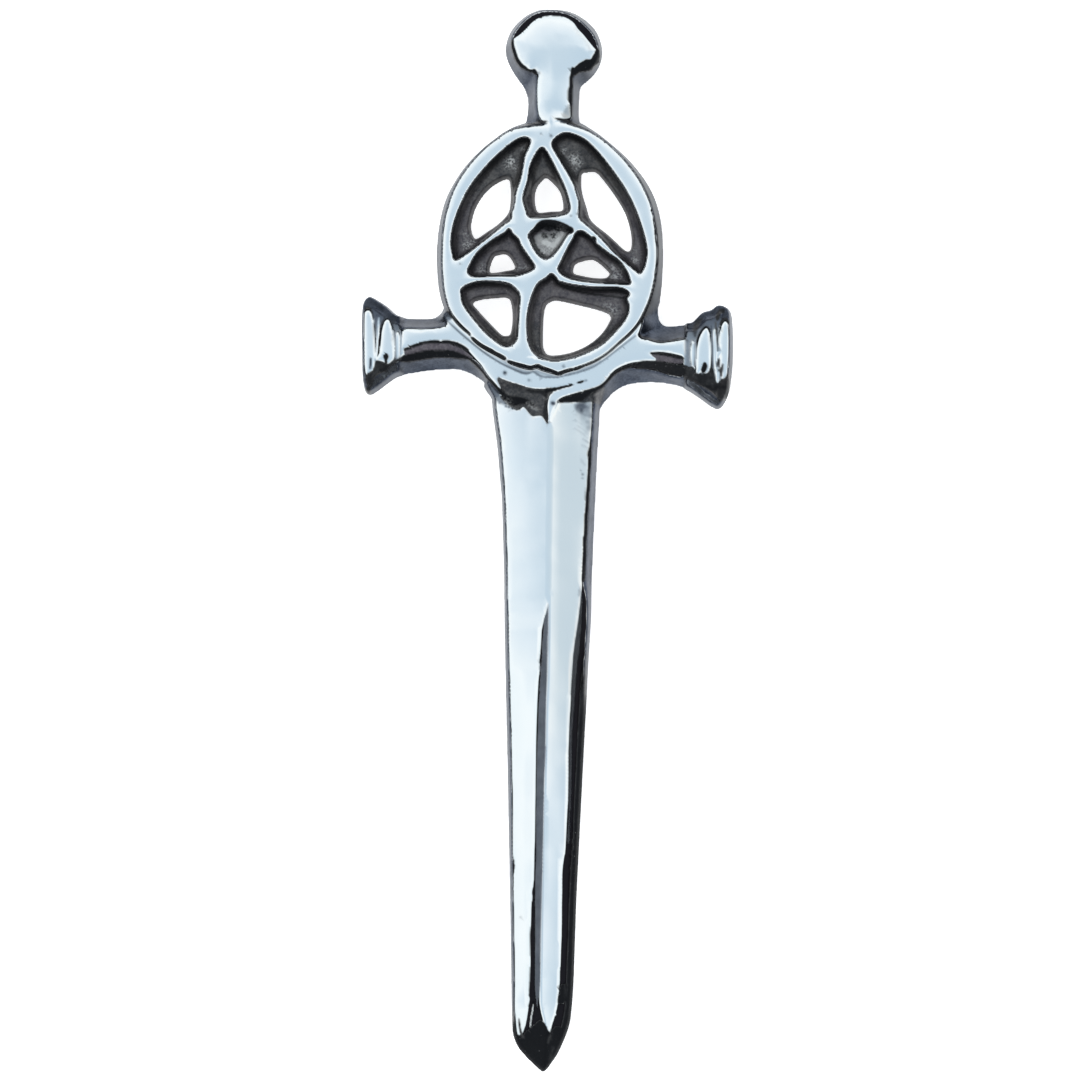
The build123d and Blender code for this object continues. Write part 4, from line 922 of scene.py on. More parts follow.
def waves(seed, size, octaves=1):
    """Smooth noise between about -1 and 1 over the grid; size is in millimetres."""
    rng = np.random.default_rng(seed)
    total = np.zeros((NY, NX), np.float32)
    gain = 1.0
    for _ in range(octaves):
        nx, ny = int((X1 - X0) / size) + 4, int((Y1 - Y0) / size) + 4
        g = rng.uniform(-1, 1, (ny, nx))
        fx, fy = (GX - X0) / size, (GY - Y0) / size
        ix, iy = fx.astype(int), fy.astype(int)
        tx, ty = fx - ix, fy - iy
        tx, ty = tx * tx * (3 - 2 * tx), ty * ty * (3 - 2 * ty)
        a = g[iy][:, ix] * (1 - tx) + g[iy][:, ix + 1] * tx
        b = g[iy + 1][:, ix] * (1 - tx) + g[iy + 1][:, ix + 1] * tx
        total += gain * (a * (1 - ty[:, None]) + b * ty[:, None])
        size, gain = size / 2, gain / 2
    return total


def soft_max(a, b, k):
    h = np.maximum(k - np.abs(a - b), 0) / k
    return np.maximum(a, b) + h * h * k * 0.25


def ramp(a, low, high):
    t = np.clip((a - low) / (high - low), 0, 1)
    return t * t * (3 - 2 * t)


def stretched(seed, size_x, size_y):
    """Smooth noise with its own size along each axis, in millimetres."""
    rng = np.random.default_rng(seed)
    nx, ny = int((X1 - X0) / size_x) + 4, int((Y1 - Y0) / size_y) + 4
    g = rng.uniform(-1, 1, (ny, nx))
    fx, fy = (GX - X0) / size_x, (GY - Y0) / size_y
    ix, iy = fx.astype(int), fy.astype(int)
    tx, ty = fx - ix, fy - iy
    tx, ty = tx * tx * (3 - 2 * tx), ty * ty * (3 - 2 * ty)
    a = g[iy][:, ix] * (1 - tx) + g[iy][:, ix + 1] * tx
    b = g[iy + 1][:, ix] * (1 - tx) + g[iy + 1][:, ix + 1] * tx
    return (a * (1 - ty[:, None]) + b * ty[:, None]).astype(np.float32)


def walled(foot, band, top, height, slope, pillow=0.06, reach=0.30):
    """Height of a cast body: a crown inside the outline `top` that rounds off towards its
    edge, a bevel of `slope` from there to `band`, then a drafted wall down to `foot`."""
    out = np.maximum(top, 0)
    crown = height - pillow * np.exp(np.minimum(top, 0) / reach) - slope * out
    base = np.maximum(-foot, 0)
    wall = np.maximum(band, 0)
    share = base / np.maximum(base + wall, 0.12)
    return np.where(foot > 0, -foot * 4.0, crown * share)


X, Y = np.meshgrid(GX, GY)

# ============================================================================
# the casting as one height over its flat back
# ============================================================================
wobble = 0.012 * waves(3, 1.6) + 0.03 * waves(4, 5.0)

# blade: two gentle facets, each with a steeper strip that widens towards the point
foot_blade = distance(FOOT_BLADE)
rows = np.array(FACETS)[::-1]
left_break = np.interp(GY, rows[:, 0], rows[:, 1])[:, None]
ridge_x = np.interp(GY, rows[:, 0], rows[:, 2])[:, None]
right_break = np.interp(GY, rows[:, 0], rows[:, 3])[:, None]
ridge_h = np.interp(GY, (-54, -53, -51.2, -50.4, -47, -30, 0, 16), (0.95, 1.30, 1.98, 2.16, 2.30, 2.50, 2.75, 2.90))[:, None]
STEEP_L, STEEP_R = 0.44, 0.50
lower = ramp(-9.0 - Y, -3.0, 10.0)
strip = np.maximum(ridge_x - left_break, 0)
upper = ramp(Y, 5.0, 13.0)
away, inner = np.maximum(ridge_x - X, 0), np.minimum(np.maximum(ridge_x - X, 0), strip)
gentle = 0.058 - 0.026 * upper + 0.075 * lower - 0.070 * ramp(-45.0 - Y, 0.0, 3.0)
left_side = STEEP_L * inner + gentle * (away - inner) + 0.008 * (away ** 2 - inner ** 2)
away = np.maximum(X - ridge_x, 0)
strip = np.maximum(right_break - ridge_x, 0)
inner = np.minimum(away, strip)
right_side = (0.085 + 0.02 * lower) * inner + 0.075 * (1 - np.exp(-inner / 0.7)) + STEEP_R * np.maximum(away - strip, 0)
facets = ridge_h - np.where(X < ridge_x, left_side, right_side)
facets = blur(np.clip(facets, 0.4, 4).astype(np.float32), 0.7)
facets = facets + 0.004 * stretched(31, 0.55, 14.0) + 0.006 * stretched(32, 1.4, 22.0)
band_blade = distance(BAND_BLADE)
blade = walled(foot_blade, band_blade, distance(TOP_BLADE), facets, 0.50, 0.02, 0.20)
blade = np.where(Y > 17.0, -3.0, blade)

# guard: arms and collar, the banded ends, all over one foot
foot_guard = distance(FOOT_GUARD)
top_arms, band_arms = distance(TOP_ARMS), distance(BAND_ARMS)
guard = walled(foot_guard, band_arms, top_arms, 2.94 - 0.012 * np.abs(X), 0.48, 0.05, 0.35)
BANDS = ((TOP_L1, 2.80), (TOP_L2, 2.82), (TOP_L3, 2.76), (TOP_R3, 2.76), (TOP_R2, 2.82), (TOP_R1B, 2.76), (TOP_R1, 2.80))
ends = np.full((NY, NX), -3, np.float32)
gap = np.full((NY, NX), 3, np.float32)
for outline, height in BANDS:
    d = distance(outline)
    gap = np.minimum(gap, d)
    ends = np.maximum(ends, height + 0.05 * (1 - np.exp(np.minimum(d, 0) / 0.22)) - 0.52 * np.maximum(d, 0))
end_zone = np.maximum(ramp(-X, 14.45, 14.85), ramp(X, 13.95, 14.2))
reach = np.maximum(-foot_guard, 0)
end_base = np.minimum(2.69 + 0.01 * waves(41, 0.6), 0.25 + 2.3 * reach)
end_body = np.maximum(np.minimum(ends, 0.4 + 12.0 * reach), end_base)
end_body = np.where(reach > 0, end_body, -foot_guard * 4)
guard = guard * (1 - end_zone) + end_body * end_zone

# hilt
foot_hilt = distance(FOOT_HILT)
top_hilt = distance(TOP_HILT)
dome = 3.12 + 0.17 * (1 - np.exp(np.minimum(top_hilt, 0) / 1.5)) - 0.22 * ramp(43.8 - Y, 0, 2.2)
band_hilt = distance(BAND_HILT)
hilt = walled(foot_hilt, band_hilt, top_hilt, dome, 0.40, 0.02, 0.30)
hilt = np.where(Y < 40.9, -3.0, hilt)

# ring with its knot: the top is whatever the cells leave standing
foot_ring = distance(FOOT_RING)
top_ring = distance(TOP_RING)
cells = np.full((NY, NX), 3.0, np.float32)
floor_h = np.full((NY, NX), 1.15, np.float32)
for name, outline in CELLS.items():
    d = distance(outline)
    if name == "centre":
        floor_h = np.where(d < 0.3, 1.60, floor_h)
    cells = np.minimum(cells, d)
edge = np.minimum(cells, np.maximum(-top_ring, 0))
ring_top = 2.83 + 0.085 * (1 - np.exp(-np.maximum(edge, 0) / 0.30))
band_ring = top_ring - 0.05 - 0.10 * ramp(X, -2.0, 9.0)
ring = walled(foot_ring, band_ring, top_ring, ring_top, 0.48, 0.0)

# body of the casting
casting = soft_max(soft_max(ring, guard, 0.08), soft_max(blade, hilt, 0.08), 0.08)
casting = casting + wobble * (casting > 0.3)

# paint layers: dark patina, which also carries painted dark reflections, painted shade and painted glints; black in it,
# partly painted shade; slate; satin sides and how much painted shade darkens their grey
patina_and_painted_light = np.zeros((NY, NX), np.float32)
black_and_painted_shade = np.zeros((NY, NX), np.float32)
slate = np.zeros((NY, NX), np.float32)
worn = np.zeros((NY, NX), np.float32)
umber = np.zeros((NY, NX), np.float32)
pale_and_glint = np.zeros((NY, NX), np.float32)
bodies = np.stack([ring, guard, blade, hilt])
owner = np.argmax(bodies, 0)
bands = np.stack([band_ring, np.where(end_zone > 0.5, -1.0, band_arms), band_blade, band_hilt])
walls = np.take_along_axis(ramp(bands, -0.13, -0.03), owner[None], 0)[0]
# painted shade: how much darker the grey of each wall is, by region: on the ring's and hilt's right, the guard's left,
# towards the blade's point and low on the banded ends
painted_wall_shade = np.choose(owner, (0.35 + 0.6 * ramp(X, 5.0, 10.0), 0.30 - 0.2 * ramp(X, 5.0, 10.0), 0.10 + 0.9 * ramp(-46.5 - Y, -2.0, 3.0), 0.15)).astype(np.float32)
painted_wall_shade = np.where((owner == 3) & (X > 0), 0.5, painted_wall_shade)
painted_wall_shade = np.where(np.abs(X) > 14.2, 0.45 * ramp(21.0 - Y, 0.0, 4.0), painted_wall_shade).astype(np.float32)
painted_wall_shade = blur(painted_wall_shade, 3.0)

# painted dark reflection: the right wall of the lower blade and the walls round its point are painted black
black = (owner == 2) * np.maximum(ramp(X - ridge_x, 0.0, 1.0) * ramp(-Y, 9.0, 19.0) * ramp(band_blade, -0.80, -0.55),
                                  ramp(-Y, 47.0, 49.5) * ramp(band_blade, -0.25, -0.12))
patina_and_painted_light, black_and_painted_shade = np.maximum(patina_and_painted_light, black), np.maximum(black_and_painted_shade, black)

# the floor between the bands is painted slate grey, less dark from half way down
lower_part = ramp(22.4 - Y, 0.0, 2.6)
floor_mark = end_zone * ramp(gap, -0.01, 0.09)
slate = np.maximum(slate, floor_mark * (1 - 0.25 * lower_part))
walls = np.maximum(walls, floor_mark * (0.50 - 0.26 * lower_part))
mottle = 0.5 + 0.5 * np.clip(waves(51, 0.8) + 0.8 * waves(52, 0.3), -1, 1)


def mark(kind, k, solid):
    """Lay one mark of strength k into the paint layers."""
    global patina_and_painted_light, black_and_painted_shade, slate, worn, walls, umber, pale_and_glint
    if kind == "black":
        patina_and_painted_light, black_and_painted_shade = np.maximum(patina_and_painted_light, k), np.maximum(black_and_painted_shade, np.minimum(2.5 * k, 1) * max(k.max(), 0.01))
    elif kind == "dark":
        patina_and_painted_light, black_and_painted_shade = np.maximum(patina_and_painted_light, k), np.maximum(black_and_painted_shade * (1 - 0.6 * k), 0.30 * k * mottle)
    elif kind == "char":
        patina_and_painted_light, black_and_painted_shade = np.maximum(patina_and_painted_light, k), np.maximum(black_and_painted_shade, k * (0.62 + 0.36 * mottle))
    elif kind == "brown":
        patina_and_painted_light, black_and_painted_shade, umber = np.maximum(patina_and_painted_light, k), black_and_painted_shade * (1 - k), np.maximum(umber, k)
    elif kind == "soft":
        slate, walls = np.maximum(slate, k), np.maximum(walls, 0.28 * k)
    elif kind == "pale_and_glint":
        pale_and_glint, black_and_painted_shade = np.maximum(pale_and_glint, k), black_and_painted_shade * (1 - np.minimum(2 * k, 1))
    elif kind == "pale":
        patina_and_painted_light, pale_and_glint, black_and_painted_shade = np.maximum(patina_and_painted_light, np.minimum(1.5 * k, 1)), np.maximum(pale_and_glint, k), black_and_painted_shade * (1 - k)
    elif kind == "slate":
        slate = np.maximum(slate, k)
    elif kind == "grey":
        slate, walls = np.maximum(slate, k), np.maximum(walls, 0.8 * k)
    elif kind == "smudge":
        k = k * (0.35 + 0.65 * mottle)
        slate, walls = np.maximum(slate, k), np.maximum(walls, 0.4 * k)
    elif kind == "worn":
        worn, black_and_painted_shade = np.maximum(worn, k), black_and_painted_shade * (1 - k)
    elif kind == "bright":
        patina_and_painted_light, black_and_painted_shade, slate, walls = patina_and_painted_light * (1 - k), black_and_painted_shade * (1 - k), slate * (1 - k), walls * (1 - k)


def lay(inside_cells):
    """Patches, then ribbons: those named for a cell wait until the cells are cut."""
    global casting
    for name, (kind, depth, strength, soft, outline) in PATCHES.items():
        if name.startswith("cell_") == inside_cells:
            d = distance(outline)
            casting = casting - depth * ramp(-d, -0.05, 0.20)
            mark(kind, strength * ramp(-d, -0.55 * soft - 0.03, 0.45 * soft + 0.03), d)
    for name, (kind, depth, strength, course) in RIBBONS.items():
        if name.startswith("cell_") == inside_cells:
            d = ribbon(course)
            casting = casting - depth * ramp(-d, -0.06, 0.10)
            mark(kind, strength * (ramp(-d, -0.11, 0.07) if kind in ("soft", "pale") else ramp(-d, -0.045, 0.045)), d)


# dark hollows, dulled patches, painted shade, painted dark reflections and painted glints, then the seams between ring,
# collar and arms
lay(False)
for x, y, radius, depth, strength in PITS:
    k = np.exp(-((X - x) ** 2 + (Y - y) ** 2) / radius ** 2)
    casting = casting - 0.25 * depth * k
    mark("grey", strength * np.minimum(1.4 * k, 1), None)
for width, depth, strength, course in SCRATCHES:
    k = np.exp(-(distance(course, closed=False) / (1.6 * width)) ** 2)
    mark("smudge", 0.8 * strength * k, None)

# sunk cells, then the windows through them
inward = np.maximum(-cells, 0)
profile = np.interp(inward, (0, 0.04, 0.24, 0.55, 9), (0, 0.24, 1.35, 1.60, 1.60)).astype(np.float32)
grain = 0.035 * waves(21, 0.35) + 0.05 * waves(22, 0.9)
sunk = np.maximum(casting - profile, floor_h) + grain
casting = np.where(cells < 0, np.minimum(sunk, casting), casting)
holes = np.full((NY, NX), 3.0, np.float32)
for name, outline in HOLES.items():
    holes = np.minimum(holes, distance(outline))
casting = np.where(holes < 0.35, np.minimum(casting, 0.15 + 5.0 * holes + 0.35), casting)
in_cells = ramp(-cells, -0.07, 0.01)
# painted shade: a black rim inside each cell, widest along its upper edges; the paint is also darker towards the
# windows and in one area right of the top cell
to_y, to_x = np.gradient(blur(cells, 1.0), STEP)
band_w = 0.10 + 0.15 * np.maximum(to_y, 0) + 0.03 * np.maximum(to_x, 0)
dark_rim = in_cells * (1 - ramp(inward, 0.6 * band_w, 1.5 * band_w))
dark_rim = np.maximum(dark_rim, in_cells * 0.35 * (1 - ramp(holes, 0.0, 0.30)))
dark_rim = np.maximum(dark_rim, in_cells * 0.34 * ramp(X, 2.0, 4.0) * ramp(Y, 32.0, 35.0))
patina_and_painted_light = np.maximum(patina_and_painted_light, in_cells)
black_and_painted_shade = np.maximum(black_and_painted_shade * (1 - in_cells), dark_rim)
slate = slate * (1 - in_cells)
walls = walls * (1 - in_cells)
umber = np.maximum(umber, 0.35 * in_cells * ramp(Y, 20.5, 22.5) * ramp(-Y, -36.0, -33.0))
lay(True)
for x, y, radius, strength in WORN:
    worn = np.maximum(worn, strength * np.exp(-((X - x) ** 2 + (Y - y) ** 2) / radius ** 2))

H = blur(np.clip(casting, -1.2, 3.32).astype(np.float32), 0.62)


# ============================================================================
# from height to a closed mesh
# ============================================================================
def sample(a, x, y):
    fx = np.clip((x - X0) / STEP, 0, NX - 1.001)
    fy = np.clip((y - Y0) / STEP, 0, NY - 1.001)
    i, j = fx.astype(int), fy.astype(int)
    s, t = fx - i, fy - j
    return (a[j, i] * (1 - s) + a[j, i + 1] * s) * (1 - t) + (a[j + 1, i] * (1 - s) + a[j + 1, i + 1] * s) * t


def mesh_from(field, origin, step, adaptivity):
    """Closed mesh (mm) of field < 0, the field indexed x, y, z."""
    grid = openvdb.FloatGrid(1.0)
    grid.background = 1.0
    grid.copyFromArray(np.ascontiguousarray(field, np.float32))
    points, tris, quads = grid.convertToPolygons(isovalue=0.0, adaptivity=adaptivity)
    points = points * np.array(step) + np.array(origin)
    return points, tris, quads


def make_object(name, points, tris, quads):
    faces = [tuple(map(int, f)) for f in quads] + [tuple(map(int, f)) for f in tris]
    mesh = bpy.data.meshes.new(name)
    mesh.from_pydata((points / 1000.0).tolist(), [], faces)
    mesh.update()
    obj = bpy.data.objects.new(name, mesh)
    bpy.context.scene.collection.objects.link(obj)
    return obj


slope_y, slope_x = np.gradient(H, STEP)
lean = 1.0 / np.sqrt(1 + slope_x ** 2 + slope_y ** 2)
# a hair of relief along paint borders and creases keeps the mesh fine there
borders = np.zeros((NY, NX), np.float32)
for layer in (patina_and_painted_light, black_and_painted_shade, slate, walls, worn, pale_and_glint):
    gy, gx = np.gradient(layer)
    borders = np.maximum(borders, np.hypot(gx, gy))
bend = sum(np.hypot(*np.gradient(part)) for part in (slope_x, slope_y))
borders = ((blur(borders, 1.0) > 0.03) | (blur(bend, 0.8) > 0.08)) & (H > 0.3) & (lean > 0.62)
ripple = np.where(np.arange(max(NX, NY)) // 2 % 2 == 0, 1.0, -1.0)
shell = H + 0.014 * borders * (ripple[:NY, None] + ripple[None, :NX])
ZSTEP, Z0, NZ = 0.2, -0.3, 20
field = np.empty((NX, NY, NZ), np.float32)
for k in range(NZ):
    z = Z0 + ZSTEP * k
    field[:, :, k] = np.maximum((z - shell) * lean, -z).T
points, tris, quads = mesh_from(field, (X0, Y0, Z0), (STEP, STEP, ZSTEP), 0.018)
px_, py_, pz_ = points[:, 0], points[:, 1], points[:, 2]
points_up = points + np.array((0, 0, BACK))
sword = make_object("sword_casting", points_up, tris, quads)

# normals from the height itself, so that the polish has no facets
mesh = sword.data
nx, ny = -sample(slope_x, px_, py_), -sample(slope_y, px_, py_)
up = np.stack([nx, ny, np.ones_like(nx)], 1)
up /= np.linalg.norm(up, axis=1)[:, None]
loop_vert = np.empty(len(mesh.loops), np.int32)
mesh.loops.foreach_get("vertex_index", loop_vert)
face_n = np.empty(len(mesh.polygons) * 3, np.float32)
mesh.polygons.foreach_get("normal", face_n)
face_n = face_n.reshape(-1, 3)
sizes = np.empty(len(mesh.polygons), np.int32)
mesh.polygons.foreach_get("loop_total", sizes)
loop_face = np.repeat(np.arange(len(mesh.polygons)), sizes)
loop_n = up[loop_vert]
low = face_n[loop_face, 2] < -0.7
loop_n[low] = (0, 0, -1)
mesh.polygons.foreach_set("use_smooth", np.ones(len(mesh.polygons), bool))
mesh.normals_split_custom_set(loop_n.tolist())


def paint(mesh, name, values):
    attr = mesh.attributes.new(name, "FLOAT", "POINT")
    attr.data.foreach_set("value", np.ascontiguousarray(np.clip(values, 0, 1), np.float32))


tilt = np.degrees(np.arccos(lean))
near_ground = ramp(0.6 - pz_, 0.0, 0.35)
at = lambda layer: sample(layer, px_, py_)
steep = ramp(at(tilt), 32, 41)
# painted reflection: the blade's upper right facet turns a warmer white
right_facet_reflection = ramp(X - ridge_x, 0.0, 0.5) * ramp(Y, -30.0, -12.0) * (owner == 2)
paint(mesh, "patina_and_painted_light", at(patina_and_painted_light))
paint(mesh, "black_and_painted_shade", at(black_and_painted_shade))
# the satin grey of the sides on steep, low and wall faces; its darkness is painted shade
paint(mesh, "side", np.maximum(np.maximum(steep, near_ground), at(walls)))
paint(mesh, "slate", at(slate))
paint(mesh, "worn", at(worn))
paint(mesh, "painted_wall_shade", at(painted_wall_shade))
paint(mesh, "reflection_tint", at(right_facet_reflection))
paint(mesh, "umber", at(umber))
paint(mesh, "pale_and_glint", at(pale_and_glint))

# ============================================================================
# the brooch fitting: pads, ears, barrel, stem and catch in one plain piece
# ============================================================================
FX0, FX1, FY0, FY1, FZ0, FZ1 = -4.7, 4.7, -38.5, 18.3, -0.3, 5.0
FSTEP = 0.13


def fitting():
    x = FX0 + FSTEP * np.arange(int((FX1 - FX0) / FSTEP) + 1)
    y = FY0 + FSTEP * np.arange(int((FY1 - FY0) / FSTEP) + 1)
    z = FZ0 + FSTEP * np.arange(int((FZ1 - FZ0) / FSTEP) + 1)
    x, y, z = np.meshgrid(x.astype(np.float32), y.astype(np.float32), z.astype(np.float32), indexing="ij")

    def box(cx, cy, cz, sx, sy, sz, r):
        qx, qy, qz = np.abs(x - cx) - sx / 2 + r, np.abs(y - cy) - sy / 2 + r, np.abs(z - cz) - sz / 2 + r
        return (np.sqrt(np.maximum(qx, 0) ** 2 + np.maximum(qy, 0) ** 2 + np.maximum(qz, 0) ** 2)
                + np.minimum(np.maximum(qx, np.maximum(qy, qz)), 0) - r)

    def join(a, b, k=0.18):
        h = np.maximum(k - np.abs(a - b), 0) / k
        return np.minimum(a, b) - h * h * k * 0.25

    top = BACK - 0.05
    axis_z, hinge_y, catch_y = 1.62, 15.2, -31.5
    # pads
    f = np.maximum(box(0, hinge_y, top - 0.2, 8.3, 5.1, 1.1, 0.28), z - top)
    f = np.minimum(f, np.maximum(box(0, catch_y, top - 0.2, 5.5, 4.1, 1.1, 0.28), z - top))
    # ears, rounded towards the floor, each with a flat foot
    for side in (-1, 1):
        ear = np.maximum(np.abs(x - side * 2.9) - 0.55, 0)
        disc = np.sqrt(np.maximum(y - hinge_y, 0) ** 2 + np.minimum(y - hinge_y, 0) ** 2 + np.minimum(z - 2.05, 0) ** 2) - 2.05
        slab = np.maximum(np.maximum(disc, z - top + 0.2), np.abs(x - side * 2.9) - 0.62)
        f = join(f, slab, 0.25)
        rivet = np.sqrt((y - hinge_y) ** 2 + (z - axis_z) ** 2) - 0.62
        f = join(f, np.maximum(rivet, np.abs(x - side * 3.45) - 0.22), 0.1)
    # barrel
    barrel = np.maximum(np.sqrt((y - hinge_y) ** 2 + (z - axis_z) ** 2) - 1.22, np.abs(x) - 2.6)
    f = join(f, barrel, 0.15)
    # stem with its long point
    radius = np.clip(np.interp(y, (-38.0, -36.5, -33.5), (0.12, 0.42, 0.74)), 0.1, 0.74)
    rod = np.sqrt(x ** 2 + (z - axis_z) ** 2) - radius
    f = join(f, np.maximum(rod, np.maximum(y - hinge_y, -38.0 - y)), 0.2)
    # catch: a post from the pad that curls under the stem
    curl = np.abs(np.sqrt(x ** 2 + (z - axis_z) ** 2) - 1.22) - 0.34
    gap = np.maximum(np.abs(z - axis_z - 0.75) - 0.42, -x)
    curl = np.maximum(curl, -gap)
    post = box(-1.15, catch_y, 3.6, 0.68, 3.1, 2.6, 0.12)
    curl = np.minimum(curl, box(0, catch_y, 0.25, 2.2, 3.1, 0.42, 0.05))
    catch = np.maximum(join(curl, post, 0.3), np.abs(y - catch_y) - 1.55)
    f = join(f, catch, 0.12)
    f = join(f, box(0, catch_y, 0.75, 1.3, 2.4, 1.0, 0.1), 0.1)
    return np.maximum(f, -z)


fit_points, fit_tris, fit_quads = mesh_from(fitting(), (FX0, FY0, FZ0), FSTEP, 0.02)
clasp = make_object("brooch_fitting", fit_points, fit_tris, fit_quads)
clasp.data.polygons.foreach_set("use_smooth", np.ones(len(clasp.data.polygons), bool))
print("pieces", len(sword.data.vertices), len(clasp.data.vertices), "triangles", int((sizes - 2).sum()))


# ============================================================================
# materials
# ============================================================================
def node_tree(name):
    m = bpy.data.materials.new(name)
    m.use_nodes = True
    t = m.node_tree
    t.nodes.clear()
    return m, t.nodes, t.links


def add(nodes, kind, **values):
    n = nodes.new(kind)
    for k, v in values.items():
        if hasattr(n, k):
            setattr(n, k, v)
        else:
            n.inputs[k.replace("_", " ")].default_value = v
    return n


def noise(nodes, links, vector, scale, detail=3.0, rough=0.5):
    n = nodes.new("ShaderNodeTexNoise")
    n.inputs["Scale"].default_value = scale
    n.inputs["Detail"].default_value = detail
    n.inputs["Roughness"].default_value = rough
    links.new(vector, n.inputs["Vector"])
    return n.outputs["Fac"]


def mapped(nodes, links, value, low, high, to_low=0.0, to_high=1.0):
    n = nodes.new("ShaderNodeMapRange")
    n.inputs["From Min"].default_value = low
    n.inputs["From Max"].default_value = high
    n.inputs["To Min"].default_value = to_low
    n.inputs["To Max"].default_value = to_high
    links.new(value, n.inputs["Value"])
    return n.outputs["Result"]


def blend(nodes, links, fac, a, b):
    n = nodes.new("ShaderNodeMix")
    n.data_type = "RGBA"
    links.new(fac, n.inputs["Factor"])
    for socket, v in ((n.inputs["A"], a), (n.inputs["B"], b)):
        if isinstance(v, tuple):
            socket.default_value = (*v, 1.0)
        else:
            links.new(v, socket)
    return n.outputs["Result"]


def math_node(nodes, links, op, a, b):
    n = nodes.new("ShaderNodeMath")
    n.operation = op
    for i, v in enumerate((a, b)):
        if isinstance(v, (int, float)):
            n.inputs[i].default_value = v
        else:
            links.new(v, n.inputs[i])
    return n.outputs[0]


def casting_material():
    m, nodes, links = node_tree("polished_cast")
    out = nodes.new("ShaderNodeOutputMaterial")
    bsdf = nodes.new("ShaderNodeBsdfPrincipled")
    links.new(bsdf.outputs[0], out.inputs[0])
    coord = nodes.new("ShaderNodeTexCoord").outputs["Object"]

    def layer(name):
        n = nodes.new("ShaderNodeAttribute")
        n.attribute_name = name
        return n.outputs["Fac"]

    patina_and_painted_light, black_and_painted_shade, side, worn = layer("patina_and_painted_light"), layer("black_and_painted_shade"), layer("side"), layer("worn")
    slate, painted_wall_shade, reflection_tint, umber, pale_and_glint = layer("slate"), layer("painted_wall_shade"), layer("reflection_tint"), layer("umber"), layer("pale_and_glint")
    n_fine = noise(nodes, links, coord, 4200, 4, 0.6)
    n_spot = noise(nodes, links, coord, 4600, 2, 0.5)
    n_mid = noise(nodes, links, coord, 900, 4, 0.55)
    n_big = noise(nodes, links, coord, 120, 3, 0.5)
    # polished plating: pale blue white, very slightly uneven
    chrome = blend(nodes, links, mapped(nodes, links, n_big, 0.35, 0.65), (0.93, 0.955, 0.97), (0.97, 0.975, 0.98))
    # painted reflection: a warmer white on the blade's upper right facet
    chrome = blend(nodes, links, reflection_tint, chrome, (0.975, 0.955, 0.925))
    # dulled slate, also the colour of painted shade and painted dark reflections, lighter than the satin slate grey of
    # the sides
    dull_and_painted_shade = blend(nodes, links, mapped(nodes, links, n_mid, 0.35, 0.65), (0.27, 0.30, 0.35), (0.36, 0.39, 0.45))
    n_cast = math_node(nodes, links, "ADD", math_node(nodes, links, "MULTIPLY", n_mid, 0.5), math_node(nodes, links, "MULTIPLY", n_fine, 0.5))
    cast = mapped(nodes, links, n_cast, 0.40, 0.60)
    # satin grey of the sides, darkened region by region towards a painted shade
    grey = blend(nodes, links, cast, (0.036, 0.045, 0.065), (0.082, 0.096, 0.128))
    shade = blend(nodes, links, cast, (0.013, 0.017, 0.024), (0.027, 0.033, 0.043))
    grey = blend(nodes, links, painted_wall_shade, grey, shade)
    # patina: warm dark grey, pale in pale patches and painted glints, black in its deepest rims as painted shade and in
    # painted dark reflections, with brighter worn specks
    dark = blend(nodes, links, cast, (0.050, 0.052, 0.058), (0.125, 0.122, 0.122))
    brown = blend(nodes, links, cast, (0.100, 0.090, 0.110), (0.180, 0.164, 0.184))
    dark = blend(nodes, links, umber, dark, brown)
    dark = blend(nodes, links, pale_and_glint, dark, (0.82, 0.84, 0.84))
    dark = blend(nodes, links, black_and_painted_shade, dark, (0.006, 0.007, 0.009))
    bare = math_node(nodes, links, "MULTIPLY", worn, mapped(nodes, links, n_spot, 0.42, 0.66))
    bare = math_node(nodes, links, "MAXIMUM", bare, mapped(nodes, links, n_fine, 0.68, 0.78, 0.0, 0.4))
    dark = blend(nodes, links, bare, dark, (0.60, 0.61, 0.61))
    # the colour turns before the polish does, so that no mark has a pale edge
    base = blend(nodes, links, slate, chrome, dull_and_painted_shade)
    base = blend(nodes, links, mapped(nodes, links, side, 0.0, 0.6), base, grey)
    base = blend(nodes, links, mapped(nodes, links, patina_and_painted_light, 0.0, 0.6), base, dark)
    links.new(base, bsdf.inputs["Base Color"])
    satin = math_node(nodes, links, "MAXIMUM", side, slate)
    rough = mapped(nodes, links, satin, 0.35, 1, 0.05, 0.40)
    rough = math_node(nodes, links, "MAXIMUM", rough, mapped(nodes, links, patina_and_painted_light, 0.5, 1, 0.05, 0.50))
    rough = math_node(nodes, links, "MAXIMUM", rough, mapped(nodes, links, black_and_painted_shade, 0.6, 1, 0.05, 0.90))
    links.new(rough, bsdf.inputs["Roughness"])
    metal = mapped(nodes, links, patina_and_painted_light, 0.4, 1, 1.0, 0.55)
    metal = math_node(nodes, links, "MULTIPLY", metal, mapped(nodes, links, black_and_painted_shade, 0.6, 1, 1.0, 0.2))
    links.new(metal, bsdf.inputs["Metallic"])
    bsdf.inputs["Specular IOR Level"].default_value = 0.25
    bump = nodes.new("ShaderNodeBump")
    bump.inputs["Distance"].default_value = 0.00005
    height = math_node(nodes, links, "MULTIPLY", n_mid, mapped(nodes, links, patina_and_painted_light, 0.6, 1, 0.08, 3.0))
    links.new(height, bump.inputs["Height"])
    bump.inputs["Strength"].default_value = 0.5
    links.new(bump.outputs[0], bsdf.inputs["Normal"])
    return m


